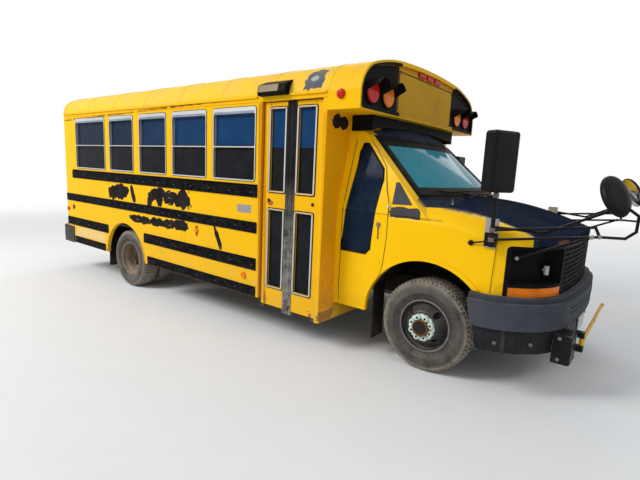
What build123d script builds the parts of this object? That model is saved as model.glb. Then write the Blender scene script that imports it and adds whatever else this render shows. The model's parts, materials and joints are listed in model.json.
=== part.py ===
from build123d import *
import math
import os

# Short school bus on a van cutaway chassis, in millimetres. X points forward from the
# front axle, Y to the left and Z up from the ground. The sprung body is drawn level and
# then raked about the front wheel centre, because the empty bus stands nose down.

# Stance and wheels
WHEELBASE = 4039.0
BODY_RAKE = 1.35
TYRE_RADIUS = 367.0
WHEEL_Z = TYRE_RADIUS
TYRE_WIDTH = 223.0
RIM_WIDTH = 165.0
BEAD_RADIUS = 203.0
FLANGE_RADIUS = 221.0
DISC_OFFSET = 125.0
DISC_PLATE = 8.0
FRONT_WHEEL_Y = 856.0
REAR_OUTER_Y = 1048.0
REAR_INNER_Y = REAR_OUTER_Y - 2 * DISC_OFFSET
STUD_CIRCLE = 165.1
STUD_COUNT = 8
SEAT_GAP = 0.3
RUN_FIT = 0.05

# Bus body
REAR_X = -5752.0
FRONT_X = -851.0
HALF_WIDTH = 1207.0
WALL = 40.0
SIDE_REACH = 1267.0
SKIRT_Z = 295.0
EAVE_Z = 2150.0
CROWN_Z = 2488.0
SHOULDER = (1000.0, 2385.0)
CROWN_SIDE = (560.0, 2468.0)
REAR_CORNER = 70.0
FLOOR_Z = 711.0
FLOOR_PLATE = 30.0

# Side windows, rub rails and rear wheel arch
WINDOW_SILL_Z = 1395.0
WINDOW_TOP_Z = 2073.0
WINDOW_RAIL_Z = 1710.0
WINDOW_RADIUS = 28.0
WINDOW_FRAME = 19.0
WINDOW_HEAD = 36.0
SASH_RADIUS = 10.0
RAIL_DEPTH = 12.0
RAIL_HEIGHT = 95.0
REAR_ARCH_RADIUS = 466.0
REAR_ARCH_Z = 275.0

# Entrance door
DOOR_REAR_X = -1583.0
DOOR_FRONT_X = FRONT_X - WALL
DOOR_BOTTOM_Z = 250.0
DOOR_TOP_Z = 2095.0
DOOR_SPLIT_X = -1240.0
LEAF_FACE_Y = 1180.0
LEAF_THICK = 40.0
LEAF_PIVOT_INSET = 35.0
LEAF_EDGE_GAP = 13.0
WELL_DEPTH_Y = 560.0
WELL_BOTTOM_Z = 236.0

# Van cab and nose
CAB_HALF_WIDTH = 1003.0
CAB_SEAM_X = -354.0
CAB_SILL_Z = 378.0
CAB_FLOOR_Z = 665.0
CAB_WALL = 40.0
NOSE_SKIN = 22.0
NOSE_X = 890.0
NOSE_FLOOR_Z = 700.0
FRONT_ARCH_RADIUS = 525.0
FRONT_ARCH_Z = 362.0
HEADER_Z = 1092.0
LAMP_EDGE_X = 556.0
GRILLE_HALF = 588.0
PAD_TOP_Z = 738.0

# Front cap over the cab
CAP_FRONT_X = -545.0
CAP_BOTTOM_Z = 2005.0
CAP_RIM = 35.0
SIGN_HALF = 585.0
WARNING_Z = 2156.0
WARNING_RADIUS = 88.0
RED_Y = 1001.0
AMBER_Y = 757.0

# Chassis
RAIL_INNER_Y = 400.0
RAIL_OUTER_Y = 465.0
FRAME_BOTTOM_Z = 440.0
FRAME_TOP_Z = 620.0
CROSS_TOP_Z = 610.0
RAIL_WEB = 8.0
KINGPIN_Y = 780.0
BALL_OFFSET_Z = 120.0
AXLE_Z = WHEEL_Z - WHEELBASE * math.sin(math.radians(BODY_RAKE))
AXLE_X = -WHEELBASE * math.cos(math.radians(BODY_RAKE))

RAKED = {}
LEVEL = {}
os.makedirs("parts", exist_ok=True)


def block(x0, x1, y0, y1, z0, z1):
    """Box between two corners."""
    middle = Pos((x0 + x1) / 2, (y0 + y1) / 2, (z0 + z1) / 2)
    return middle * Box(abs(x1 - x0), abs(y1 - y0), abs(z1 - z0))


def along_x(points, x0, x1):
    """Prism of a (Y, Z) outline between two stations."""
    outline = Pos(x0, 0, 0) * (Plane.YZ * make_face(Polyline(*points, close=True)))
    return extrude(outline, amount=x1 - x0, dir=(1, 0, 0))


def along_y(points, y0, y1):
    """Prism of an (X, Z) outline between two sides."""
    outline = Pos(0, y0, 0) * (Plane.XZ * make_face(Polyline(*points, close=True)))
    return extrude(outline, amount=y1 - y0, dir=(0, 1, 0))


def along_z(points, z0, z1):
    """Prism of an (X, Y) outline between two heights."""
    outline = Pos(0, 0, z0) * make_face(Polyline(*points, close=True))
    return extrude(outline, amount=z1 - z0, dir=(0, 0, 1))


def rod(start, end, radius):
    """Round bar between two points."""
    line = Vector(*end) - Vector(*start)
    plane = Plane(origin=start, z_dir=line.normalized())
    return extrude(plane * Circle(radius), amount=line.length)


def disc_y(x, z, radius, y0, y1):
    """Cylinder along Y."""
    return rod((x, y0, z), (x, y1, z), radius)


def window_cut(x0, x1, z0, z1, radius, y0, y1):
    """Rounded rectangular cutter through a side wall."""
    shape = Pos((x0 + x1) / 2, (z0 + z1) / 2) * RectangleRounded(x1 - x0, z1 - z0, radius)
    return extrude(Pos(0, y0, 0) * (Plane.XZ * shape), amount=y1 - y0, dir=(0, 1, 0))


def rear_cut(y0, y1, z0, z1, radius, x0, x1):
    """Rounded rectangular cutter through an end wall."""
    shape = Pos((y0 + y1) / 2, (z0 + z1) / 2) * RectangleRounded(y1 - y0, z1 - z0, radius)
    return extrude(Pos(x0, 0, 0) * (Plane.YZ * shape), amount=x1 - x0, dir=(1, 0, 0))


def both_sides(shape):
    """The shape and its mirror image across the centre plane."""
    return [shape, mirror(shape, about=Plane.XZ)]


def body(name, *shapes):
    """Keeps a node of the raked body."""
    RAKED[name] = [solid for shape in shapes for solid in shape.solids()]


def level(name, *shapes):
    """Keeps a node that stands level on the ground."""
    LEVEL[name] = [solid for shape in shapes for solid in shape.solids()]


HINGE_BARREL = 9.0
HINGE_PIN = 4.0
KNUCKLE = 26.0


def upright_hinge(x, y, z0, z1, moving_leaf, fixed_leaf):
    """Butt hinge on an upright pin: moving part, fixed part and the room to cut for it.

    Each leaf is (x0, x1, y0, y1), reaching from the barrel to its panel.
    """
    moving = rod((x, y, z0), (x, y, z1), HINGE_BARREL) + block(*moving_leaf, z0, z1)
    moving += rod((x, y, z0 - KNUCKLE + 2), (x, y, z1 + KNUCKLE - 2), HINGE_PIN)
    room = rod((x, y, z0 - SEAT_GAP), (x, y, z1 + SEAT_GAP), HINGE_BARREL + 1)
    fixed = block(*fixed_leaf, z0 - KNUCKLE, z1 + KNUCKLE) - block(
        fixed_leaf[0] - 1, fixed_leaf[1] + 1, fixed_leaf[2] - 1, fixed_leaf[3] + 1, z0 - SEAT_GAP, z1 + SEAT_GAP
    )
    bore = rod((x, y, z0 - KNUCKLE - 1), (x, y, z1 + KNUCKLE + 1), HINGE_PIN + RUN_FIT)
    for low in (z0 - KNUCKLE, z1 + SEAT_GAP):
        fixed += rod((x, y, low), (x, y, low + KNUCKLE - SEAT_GAP), HINGE_BARREL)
    return moving, fixed, room + bore


# Bus body shell, split at the eaves, the rear corners and the front wall
def body_section(inset, bottom):
    """Cross-section of the body inside an inset."""
    half = HALF_WIDTH - inset
    shoulder = (SHOULDER[0] - 0.45 * inset, SHOULDER[1] - 0.89 * inset)
    side = (CROWN_SIDE[0] - 0.15 * inset, CROWN_SIDE[1] - 0.99 * inset)
    top = CROWN_Z - inset
    haunch = (1136.0 - 0.8 * inset, 2302.0 - 0.6 * inset)
    slope = (795.0 - 0.3 * inset, 2437.0 - 0.95 * inset)
    edges = [
        Line((-half, EAVE_Z), (-half, bottom)),
        Line((-half, bottom), (half, bottom)),
        Line((half, bottom), (half, EAVE_Z)),
        ThreePointArc((half, EAVE_Z), haunch, shoulder),
        ThreePointArc(shoulder, slope, side),
        ThreePointArc(side, (0, top), (-side[0], side[1])),
        ThreePointArc((-side[0], side[1]), (-slope[0], slope[1]), (-shoulder[0], shoulder[1])),
        ThreePointArc((-shoulder[0], shoulder[1]), (-haunch[0], haunch[1]), (-half, EAVE_Z)),
    ]
    return Plane.YZ * make_face(edges)


def body_prism(inset, bottom, x0, x1):
    """Body cross-section drawn out between two stations."""
    return extrude(Pos(x0, 0, 0) * body_section(inset, bottom), amount=x1 - x0, dir=(1, 0, 0))


def rear_rounded(prism, radius):
    """Rounds the two upright rear corners."""
    upright = prism.edges().filter_by(Axis.Z).group_by(Axis.X)[0]
    return fillet(upright, radius)


outer = rear_rounded(body_prism(0, SKIRT_Z, REAR_X, FRONT_X), REAR_CORNER)
inner = rear_rounded(body_prism(WALL, SKIRT_Z - 50, REAR_X + WALL, FRONT_X + 50), REAR_CORNER - WALL)
shell = outer - inner
wall_end = FRONT_X - WALL
corner_x = REAR_X + REAR_CORNER

roof = shell & block(REAR_X - 10, FRONT_X, -1300, 1300, EAVE_Z, 2600)
rear_wall = shell & block(REAR_X - 10, corner_x, -1300, 1300, 0, EAVE_Z)
left_wall = shell & block(corner_x, wall_end, 0, 1300, 0, EAVE_Z)
right_wall = shell & block(corner_x, wall_end, -1300, 0, 0, EAVE_Z)

# Columns: rear edge X, front edge X
SIDE_WINDOWS = [
    (-5331.0, -4492.0),
    (-4368.0, -3789.0),
    (-3652.0, -3093.0),
    (-2974.0, -2376.0),
    (-2268.0, -1658.0),
]
FRONT_LEFT_WINDOW = (-1540.0, -960.0)
arch = disc_y(AXLE_X, REAR_ARCH_Z, REAR_ARCH_RADIUS, -1300, 1300)
for x0, x1 in SIDE_WINDOWS:
    opening = window_cut(x0, x1, WINDOW_SILL_Z, WINDOW_TOP_Z, WINDOW_RADIUS, -1300, 1300)
    left_wall -= opening
    right_wall -= opening
left_wall -= window_cut(*FRONT_LEFT_WINDOW, WINDOW_SILL_Z, WINDOW_TOP_Z, WINDOW_RADIUS, 0, 1300)
left_wall -= arch
right_wall -= arch
door_top = DOOR_TOP_Z + 10
right_wall -= block(DOOR_REAR_X, wall_end + 1, -1300, -1000, 0, door_top)

# Rear emergency door opening and the windows beside it
REAR_DOOR_HALF = 430.0
REAR_DOOR_BOTTOM_Z = 672.0
REAR_DOOR_TOP_Z = 2060.0
REAR_DOOR_GAP = 8.0
REAR_WINDOW_Y = (600.0, 1080.0)
rear_wall -= block(REAR_X - 10, REAR_X + 60, -REAR_DOOR_HALF, REAR_DOOR_HALF, REAR_DOOR_BOTTOM_Z, REAR_DOOR_TOP_Z)
for side in (-1, 1):
    y0, y1 = sorted((side * REAR_WINDOW_Y[0], side * REAR_WINDOW_Y[1]))
    rear_wall -= rear_cut(y0, y1, WINDOW_SILL_Z, WINDOW_TOP_Z, WINDOW_RADIUS, REAR_X - 10, REAR_X + 60)

gap_y = (RAIL_INNER_Y - SEAT_GAP, RAIL_OUTER_Y + SEAT_GAP)
for side in (-1, 1):
    y0, y1 = sorted((side * gap_y[0], side * gap_y[1]))
    rear_wall -= block(REAR_X - 10, REAR_X + 90, y0, y1, 0, FRAME_TOP_Z + SEAT_GAP)
body("roof", roof)
body("side_wall_left", left_wall)
body("side_wall_right", right_wall)

# Front wall with the passage to the cab
PASSAGE_HALF = 700.0
PASSAGE_TOP_Z = 1840.0
front_wall = body_prism(0, SKIRT_Z, wall_end, FRONT_X) & block(-1000, 0, -1300, 1300, 0, EAVE_Z)
front_wall += block(wall_end, FRONT_X, -HALF_WIDTH, -WELL_DEPTH_Y, WELL_BOTTOM_Z - 8, SKIRT_Z + 5)
front_wall -= block(-1000, 0, -PASSAGE_HALF, PASSAGE_HALF, FLOOR_Z, PASSAGE_TOP_Z)
front_wall -= block(-1000, 0, -WELL_DEPTH_Y, 985, 0, FLOOR_Z - FLOOR_PLATE)
body("front_wall", front_wall)

# Floor, cross sills and step well
STEP_RISE = (FLOOR_Z - WELL_BOTTOM_Z) / 3
STEP_EDGES_Y = (1135.0, 930.0, 745.0, WELL_DEPTH_Y)
WELL_PLATE = 12.0
inner_half = HALF_WIDTH - WALL
floor = block(REAR_X, wall_end, -inner_half, inner_half, FLOOR_Z - FLOOR_PLATE, FLOOR_Z) & inner
floor -= block(DOOR_REAR_X - WELL_PLATE, 0, -1300, -WELL_DEPTH_Y, 0, 800)
SILL_STATIONS = (-5600.0, -4980.0, -3380.0, -2760.0, -2140.0, -1000.0)
for x in SILL_STATIONS:
    reach = -WELL_DEPTH_Y + 20 if x > DOOR_REAR_X else -inner_half
    floor += block(x - 30, x + 30, reach, inner_half, FRAME_TOP_Z, FLOOR_Z - FLOOR_PLATE)
for x in (-4400.0, -3700.0):
    floor += block(x - 30, x + 30, -640, 640, FRAME_TOP_Z, FLOOR_Z - FLOOR_PLATE)
steps = [(-STEP_EDGES_Y[0], WELL_BOTTOM_Z)]
for index, edge in enumerate(STEP_EDGES_Y[1:]):
    height = WELL_BOTTOM_Z + index * STEP_RISE
    steps += [(-edge, height), (-edge, height + STEP_RISE)]
under = [(steps[0][0], steps[0][1] - WELL_PLATE)]
for index, edge in enumerate(STEP_EDGES_Y[1:]):
    height = WELL_BOTTOM_Z + index * STEP_RISE - WELL_PLATE
    top = height + STEP_RISE if index < 2 else FLOOR_Z
    under += [(-edge + WELL_PLATE, height), (-edge + WELL_PLATE, top)]
well = along_x(steps + under[::-1], DOOR_REAR_X, wall_end)
well += block(
    DOOR_REAR_X - WELL_PLATE, DOOR_REAR_X, -STEP_EDGES_Y[0], -WELL_DEPTH_Y + WELL_PLATE, WELL_BOTTOM_Z - WELL_PLATE, FLOOR_Z
)
for x in (DOOR_FRONT_X - LEAF_PIVOT_INSET, DOOR_REAR_X + LEAF_PIVOT_INSET):
    well += block(x - 25, x + 25, 20 - LEAF_FACE_Y - 25, 5 - STEP_EDGES_Y[0], WELL_BOTTOM_Z - WELL_PLATE, WELL_BOTTOM_Z)
floor += well
body("floor", floor)

# Rub rails. Columns: height of the lower edge, rear end X, front end X on the right side
RUB_RAILS = [
    (1249.0, -5469.0, -1623.0),
    (913.0, -5682.0, -1623.0),
    (556.0, -5682.0, -4460.0),
    (556.0, -3576.0, -1623.0),
    (300.0, -5459.0, -4551.0),
    (300.0, -3502.0, -1623.0),
]
RIB_DEPTH = 4.0
RIB_WIDTH = 14.0


def rail_outline(z0):
    """Ribbed cross-section of a rub rail."""
    face = HALF_WIDTH + RAIL_DEPTH
    points = [(HALF_WIDTH, z0), (face - 4, z0), (face, z0 + 6)]
    pitch = RAIL_HEIGHT / 4
    for rib in (1, 2, 3):
        middle = z0 + rib * pitch
        points += [(face, middle - RIB_WIDTH / 2), (face - RIB_DEPTH, middle - 3)]
        points += [(face - RIB_DEPTH, middle + 3), (face, middle + RIB_WIDTH / 2)]
    return points + [(face, z0 + RAIL_HEIGHT - 6), (face - 4, z0 + RAIL_HEIGHT), (HALF_WIDTH, z0 + RAIL_HEIGHT)]


rails = []
for z0, x0, x1 in RUB_RAILS:
    left_end = wall_end if x1 > -2000 else x1
    rails.append(along_x(rail_outline(z0), x0, left_end))
    rails.append(mirror(along_x(rail_outline(z0), x0, x1), about=Plane.XZ))
body("rub_rails", *rails)

# Window frames and panes
frames = []
panes = []


def framed_window(x0, x1, side):
    """Two-sash aluminium window: frame and panes in one opening."""
    f0, f1 = x0 + SEAT_GAP, x1 - SEAT_GAP
    z0, z1 = WINDOW_SILL_Z + SEAT_GAP, WINDOW_TOP_Z - SEAT_GAP
    near, far = sorted((side * (HALF_WIDTH - 36), side * (HALF_WIDTH + 5)))
    frame = window_cut(f0, f1, z0, z1, WINDOW_RADIUS - SEAT_GAP, near, far)
    low = (z0 + WINDOW_FRAME, WINDOW_RAIL_Z - 12)
    high = (WINDOW_RAIL_Z + 12, z1 - WINDOW_HEAD)
    for bottom, top in (low, high):
        frame -= window_cut(f0 + WINDOW_FRAME, f1 - WINDOW_FRAME, bottom, top, SASH_RADIUS, near - 5, far + 5)
    frames.append(frame)
    for (bottom, top), depth in ((low, 14.0), (high, 24.0)):
        y0, y1 = sorted((side * (HALF_WIDTH - depth), side * (HALF_WIDTH - depth - 5)))
        gap = SEAT_GAP
        left, right = f0 + WINDOW_FRAME + gap, f1 - WINDOW_FRAME - gap
        panes.append(window_cut(left, right, bottom + gap, top - gap, SASH_RADIUS - gap, y0, y1))


for x0, x1 in SIDE_WINDOWS:
    framed_window(x0, x1, 1)
    framed_window(x0, x1, -1)
framed_window(*FRONT_LEFT_WINDOW, 1)
for side in (-1, 1):
    y0, y1 = sorted((side * (REAR_WINDOW_Y[0] + SEAT_GAP), side * (REAR_WINDOW_Y[1] - SEAT_GAP)))
    z0, z1 = WINDOW_SILL_Z + SEAT_GAP, WINDOW_TOP_Z - SEAT_GAP
    edge = WINDOW_FRAME
    frame = rear_cut(y0, y1, z0, z1, WINDOW_RADIUS - SEAT_GAP, REAR_X - 5, REAR_X + 30)
    frame -= rear_cut(y0 + edge, y1 - edge, z0 + edge, z1 - edge, SASH_RADIUS, REAR_X - 10, REAR_X + 40)
    frames.append(frame)
    edge += SEAT_GAP
    panes.append(rear_cut(y0 + edge, y1 - edge, z0 + edge, z1 - edge, SASH_RADIUS - SEAT_GAP, REAR_X + 10, REAR_X + 15))
body("window_frames", *frames)
body("window_glass", *panes)


# Entrance door: two leaves, each hung on a post at its outer edge
LEAF_STILE = 62.0
LEAF_SEAL = 45.0
PANE_UPPER = (1310.0, 2055.0)
PANE_LOWER = (425.0, 1165.0)
PANE_TRIM = 16.0
PANE_GLASS = 6.0
POST_RADIUS = 9.0


def entrance_leaf(hinge_x, meeting_x):
    """Leaf panel with its trim and nosing, and its two panes."""
    way = 1 if meeting_x > hinge_x else -1
    edge_x = hinge_x - way * 22.0
    y_out, y_in = -LEAF_FACE_Y, -LEAF_FACE_Y + LEAF_THICK
    x0, x1 = sorted((edge_x, meeting_x))
    panel = block(x0, x1, y_out, y_in, DOOR_BOTTOM_Z, DOOR_TOP_Z)
    seal0, seal1 = sorted((meeting_x, meeting_x + way * LEAF_SEAL))
    nosing = block(seal0, seal1, y_out - 6, y_in - 4, DOOR_BOTTOM_Z - 35, DOOR_TOP_Z - 5)
    nosing = fillet(nosing.edges().filter_by(Axis.Z), 9)
    panel += nosing
    glass = []
    g0, g1 = sorted((edge_x + way * LEAF_STILE, meeting_x - way * 12.0))
    for bottom, top in (PANE_LOWER, PANE_UPPER):
        raised = window_cut(g0, g1, bottom, top, 14, y_out - 5, y_out + 1)
        panel += raised
        t0, t1 = g0 + PANE_TRIM, g1 - PANE_TRIM
        panel -= window_cut(t0, t1, bottom + PANE_TRIM, top - PANE_TRIM, 8, y_out - 20, y_in + 20)
        gap = SEAT_GAP
        middle = (y_out + y_in) / 2
        glass.append(
            window_cut(
                t0 + gap, t1 - gap, bottom + PANE_TRIM + gap, top - PANE_TRIM - gap, 8 - gap, middle - 3, middle + 3
            )
        )
    post_y = (y_out + y_in) / 2
    panel += rod((hinge_x, post_y, DOOR_BOTTOM_Z + 5), (hinge_x, post_y, WELL_BOTTOM_Z + SEAT_GAP), POST_RADIUS)
    panel += rod((hinge_x, post_y, DOOR_TOP_Z - 5), (hinge_x, post_y, door_top - SEAT_GAP), POST_RADIUS)
    return panel, glass


FRONT_LEAF_HINGE_X = DOOR_FRONT_X - LEAF_PIVOT_INSET
REAR_LEAF_HINGE_X = DOOR_REAR_X + LEAF_PIVOT_INSET
MEETING_GAP = 6.0
front_meeting = DOOR_SPLIT_X + LEAF_SEAL + MEETING_GAP / 2
rear_meeting = DOOR_SPLIT_X - LEAF_SEAL - MEETING_GAP / 2
front_leaf, front_panes = entrance_leaf(FRONT_LEAF_HINGE_X, front_meeting)
rear_leaf, rear_panes = entrance_leaf(REAR_LEAF_HINGE_X, rear_meeting)
body("entrance_leaf_front", front_leaf)
body("entrance_glass_front", *front_panes)
body("entrance_leaf_rear", rear_leaf)
body("entrance_glass_rear", *rear_panes)

# Rear emergency door, hung on its right edge
rear_half = REAR_DOOR_HALF - REAR_DOOR_GAP
rear_z0 = REAR_DOOR_BOTTOM_Z + REAR_DOOR_GAP
rear_z1 = REAR_DOOR_TOP_Z - REAR_DOOR_GAP
rear_door = block(REAR_X, REAR_X + WALL, -rear_half, rear_half, rear_z0, rear_z1)
rear_door_panes = []
for z0, z1 in ((790.0, 1200.0), (1340.0, 1990.0)):
    rear_door += rear_cut(-320, 320, z0 - 18, z1 + 18, 40, REAR_X - 5, REAR_X + 1)
    rear_door -= rear_cut(-302, 302, z0, z1, 30, REAR_X - 20, REAR_X + 60)
    gap = SEAT_GAP
    rear_door_panes.append(rear_cut(-302 + gap, 302 - gap, z0 + gap, z1 - gap, 30 - gap, REAR_X + 12, REAR_X + 18))
handle = block(REAR_X - 45, REAR_X - 33, 250, 390, 1230, 1262) + block(REAR_X - 40, REAR_X + 1, 350, 374, 1234, 1258)
rear_door += handle
REAR_HINGE_Y = -(REAR_DOOR_HALF + 4.0)
REAR_HINGE_X = REAR_X - 16.0
leaf_x = (REAR_HINGE_X - 4, REAR_HINGE_X + 4)
for z in (760.0, 1225.0, 1900.0):
    moving, fixed, room = upright_hinge(
        REAR_HINGE_X, REAR_HINGE_Y, z, z + 70,
        (*leaf_x, REAR_HINGE_Y, -rear_half + 60), (*leaf_x, REAR_HINGE_Y - 60, REAR_HINGE_Y),
    )
    rear_door += moving + block(REAR_HINGE_X - 4, REAR_X + 1, -rear_half + 20, -rear_half + 60, z, z + 70)
    rear_wall = rear_wall + fixed - room
    for low in (z - KNUCKLE, z + 70 + SEAT_GAP):
        pad_y = REAR_HINGE_Y - 60
        rear_wall += block(REAR_HINGE_X - 4, REAR_X + 1, pad_y, pad_y + 40, low, low + KNUCKLE - SEAT_GAP)
body("rear_wall", rear_wall)
body("rear_door", rear_door)
body("rear_door_glass", *rear_door_panes)

# Front cap: rimmed fascia above the windscreen
cap = body_prism(0, CAP_BOTTOM_Z, FRONT_X, CAP_FRONT_X)
recess = body_prism(CAP_RIM, CAP_BOTTOM_Z + CAP_RIM, CAP_FRONT_X - CAP_RIM, CAP_FRONT_X + 10)
cavity = body_prism(WALL, CAP_BOTTOM_Z + WALL, FRONT_X - 10, CAP_FRONT_X - CAP_RIM - 20)
fascia_x = CAP_FRONT_X - CAP_RIM
cap = cap - recess - cavity
body("front_cap", cap)

# Panels, lamps and hoods on the fascia and on the rear wall
PANEL_PLATE = 6.0
LAMP_DEPTH = 20.0
HOOD_REACH = 125.0
HOOD_PLATE = 4.0
HOOD_RADIUS = WARNING_RADIUS + 10
FASCIA_TOP_Z = 2436.0
FASCIA_BOTTOM_Z = CAP_BOTTOM_Z + CAP_RIM + 6
housings = []
reds = []
ambers = []


def hooded_lamp(y, colour):
    """Round warning lamp on the fascia: keeps its lens and returns its hood."""
    start = fascia_x + PANEL_PLATE
    lens = rod((start, y, WARNING_Z), (start + LAMP_DEPTH, y, WARNING_Z), WARNING_RADIUS)
    lens = fillet(lens.edges().filter_by(GeomType.CIRCLE).sort_by(Axis.X)[-1], 12)
    colour.append(lens)
    ring = rod((start, y, WARNING_Z), (start + HOOD_REACH, y, WARNING_Z), HOOD_RADIUS)
    ring -= rod((start - 1, y, WARNING_Z), (start + HOOD_REACH + 1, y, WARNING_Z), HOOD_RADIUS - HOOD_PLATE)
    open_side = [(start + 16, WARNING_Z - 120), (start + 16, WARNING_Z)]
    open_side += [(start + 150, WARNING_Z + 60), (start + 150, WARNING_Z - 120)]
    return ring - along_y(open_side, y - 120, y + 120)


fascia_room = body_prism(CAP_RIM + 6, 0, -7000, 0)
for side in (-1, 1):
    y0, y1 = sorted((side * (SIGN_HALF + 8), side * 1300))
    panel = block(fascia_x, fascia_x + PANEL_PLATE, y0, y1, FASCIA_BOTTOM_Z, FASCIA_TOP_Z) & fascia_room
    panel += hooded_lamp(side * RED_Y, reds)
    panel += hooded_lamp(side * AMBER_Y, ambers)
    housings.append(panel)
signs = [block(fascia_x, fascia_x + PANEL_PLATE, -SIGN_HALF, SIGN_HALF, FASCIA_BOTTOM_Z, 2600) & fascia_room]

# Three marker lamps over the sign
MARKER_Y = 170.0
MARKER_Z = 2428.0
for y in (-MARKER_Y, 0.0, MARKER_Y):
    start = fascia_x + PANEL_PLATE
    reds.append(rod((start, y, MARKER_Z), (start + 14, y, MARKER_Z), 20))

# Warning lamps on the rear wall, beside the emergency door top
REAR_LAMP_Z = 2230.0
REAR_LAMP_RADIUS = 70.0
for side in (-1, 1):
    for y, colour in ((940.0, reds), (740.0, ambers)):
        lens = rod((REAR_X, side * y, REAR_LAMP_Z), (REAR_X - 22, side * y, REAR_LAMP_Z), REAR_LAMP_RADIUS)
        colour.append(lens)
signs.append(block(REAR_X - 4, REAR_X, -500, 500, 2120, 2330))

# Tail, stop and turn lamps low on the rear wall
for side in (-1, 1):
    for z, colour, radius in ((1180.0, reds, 85.0), (960.0, ambers, 85.0), (770.0, reds, 52.0)):
        colour.append(rod((REAR_X, side * 950, z), (REAR_X - 24, side * 950, z), radius))

# Marker lamps along the eaves and on the cap
# Columns: station X, height, radius, colour
SIDE_LAMPS = [
    (-722.0, 2119.0, 24.0, ambers),
    (-5652.0, 786.0, 26.0, reds),
    (-2532.0, 836.0, 24.0, ambers),
    (-1784.0, 484.0, 30.0, ambers),
]
for side in (-1, 1):
    for x, z, radius, colour in SIDE_LAMPS:
        y0 = side * HALF_WIDTH
        colour.append(rod((x, y0, z), (x, y0 + side * 16, z), radius))
for y in (-150.0, 0.0, 150.0):
    reds.append(rod((REAR_X, y, 2395), (REAR_X - 14, y, 2395), 24))

# Flood lamp over the entrance door
FLOOD_X = (-1592.0, -1266.0)
FLOOD_PROFILE = [
    (-HALF_WIDTH, 2147.0),
    (8 - SIDE_REACH, 2147.0),
    (-SIDE_REACH, 2172.0),
    (14 - SIDE_REACH, 2236.0),
    (-HALF_WIDTH + 64, 2284.0),
]
flood = along_x(FLOOD_PROFILE, *FLOOD_X) - body_prism(-SEAT_GAP, 0, -2000, -1000)
housings.append(flood)


# Nose: lofted envelope cut to its plan outline
# Columns: station X, half width, height at the bonnet edge, height on the centre line
NOSE_SECTIONS = [
    (-370.0, 1003.0, 1298.0, 1345.0),
    (60.0, 1003.0, 1285.0, 1352.0),
    (320.0, 1000.0, 1250.0, 1325.0),
    (644.0, 990.0, 1158.0, 1250.0),
    (905.0, 975.0, 1058.0, 1160.0),
]
BONNET_EDGE_Y = 760.0


def nose_loft(inset, floor_z):
    """Nose envelope through its sections, drawn in by an inset."""
    faces = []
    for x, half, edge_z, middle_z in NOSE_SECTIONS:
        w = half - inset
        edge = (BONNET_EDGE_Y - inset * 0.3, edge_z - inset)
        belt = (w, edge_z - 115.0)
        bulge = (w - 45.0, edge_z - 42.0 - inset * 0.6)
        crown = (0.0, middle_z - inset)
        edges = [
            Line((-w, belt[1]), (-w, floor_z)),
            Line((-w, floor_z), (w, floor_z)),
            Line((w, floor_z), belt),
            ThreePointArc(belt, bulge, edge),
            ThreePointArc(edge, crown, (-edge[0], edge[1])),
            ThreePointArc((-edge[0], edge[1]), (-bulge[0], bulge[1]), (-w, belt[1])),
        ]
        faces.append(Pos(x, 0, 0) * (Plane.YZ * make_face(edges)))
    return loft(faces)


def nose_plan(grow, z0, z1, back=-2000.0):
    """Plan outline of the nose, grown outwards and drawn up between two heights."""
    side_x, side_y = 470.0, 1003.0 + grow
    mid = (735.0 + 0.72 * grow, 845.0 + 0.70 * grow)
    corner = (848.0 + 0.95 * grow, 600.0 + 0.25 * grow)
    front = NOSE_X + grow
    edges = [
        Line((back, -side_y), (side_x, -side_y)),
        ThreePointArc((side_x, -side_y), (mid[0], -mid[1]), (corner[0], -corner[1])),
        ThreePointArc((corner[0], -corner[1]), (front, 0), corner),
        ThreePointArc(corner, mid, (side_x, side_y)),
        Line((side_x, side_y), (back, side_y)),
        Line((back, side_y), (back, -side_y)),
    ]
    return extrude(Pos(0, 0, z0) * make_face(edges), amount=z1 - z0, dir=(0, 0, 1))


nose_solid = nose_loft(0, NOSE_FLOOR_Z) & nose_plan(0, 0, 1500) & block(CAB_SEAM_X, 2000, -1300, 1300, 0, 1500)
nose_inner = nose_loft(NOSE_SKIN, NOSE_FLOOR_Z - 250) & nose_plan(-NOSE_SKIN, 0, 1500)
nose_skin = nose_solid - nose_inner
front_arch = disc_y(0, FRONT_ARCH_Z, FRONT_ARCH_RADIUS, -1300, 1300)
nose_skin -= front_arch

COWL_X = 20.0
PANEL_GAP = 6.0
LAMP_TOP_Z = HEADER_Z - PANEL_GAP
LAMP_CORNER = 32.0
HOOD_CORNER = [(640.0, 785.0), (705.0, 850.0), (1000.0, 850.0)]


def hood_region(gap):
    """Plan area of the bonnet, shrunk by a gap."""
    half = [(COWL_X + gap, BONNET_EDGE_Y - gap)] + [(x, y - gap) for x, y in HOOD_CORNER]
    points = half + [(x, -y) for x, y in half[::-1]]
    return along_z(points, HEADER_Z + gap, 1600)


def lamp_region(gap, y0):
    """Room of the lamp buckets behind their rounded upper corner, shrunk by a gap."""
    region = block(LAMP_EDGE_X + gap, 2000, y0, 1300, 0, LAMP_TOP_Z + SEAT_GAP - gap)
    corner = region.edges().filter_by(Axis.Y).group_by(Axis.X)[0].sort_by(Axis.Z)[-1]
    return fillet(corner, LAMP_CORNER - gap)


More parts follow.
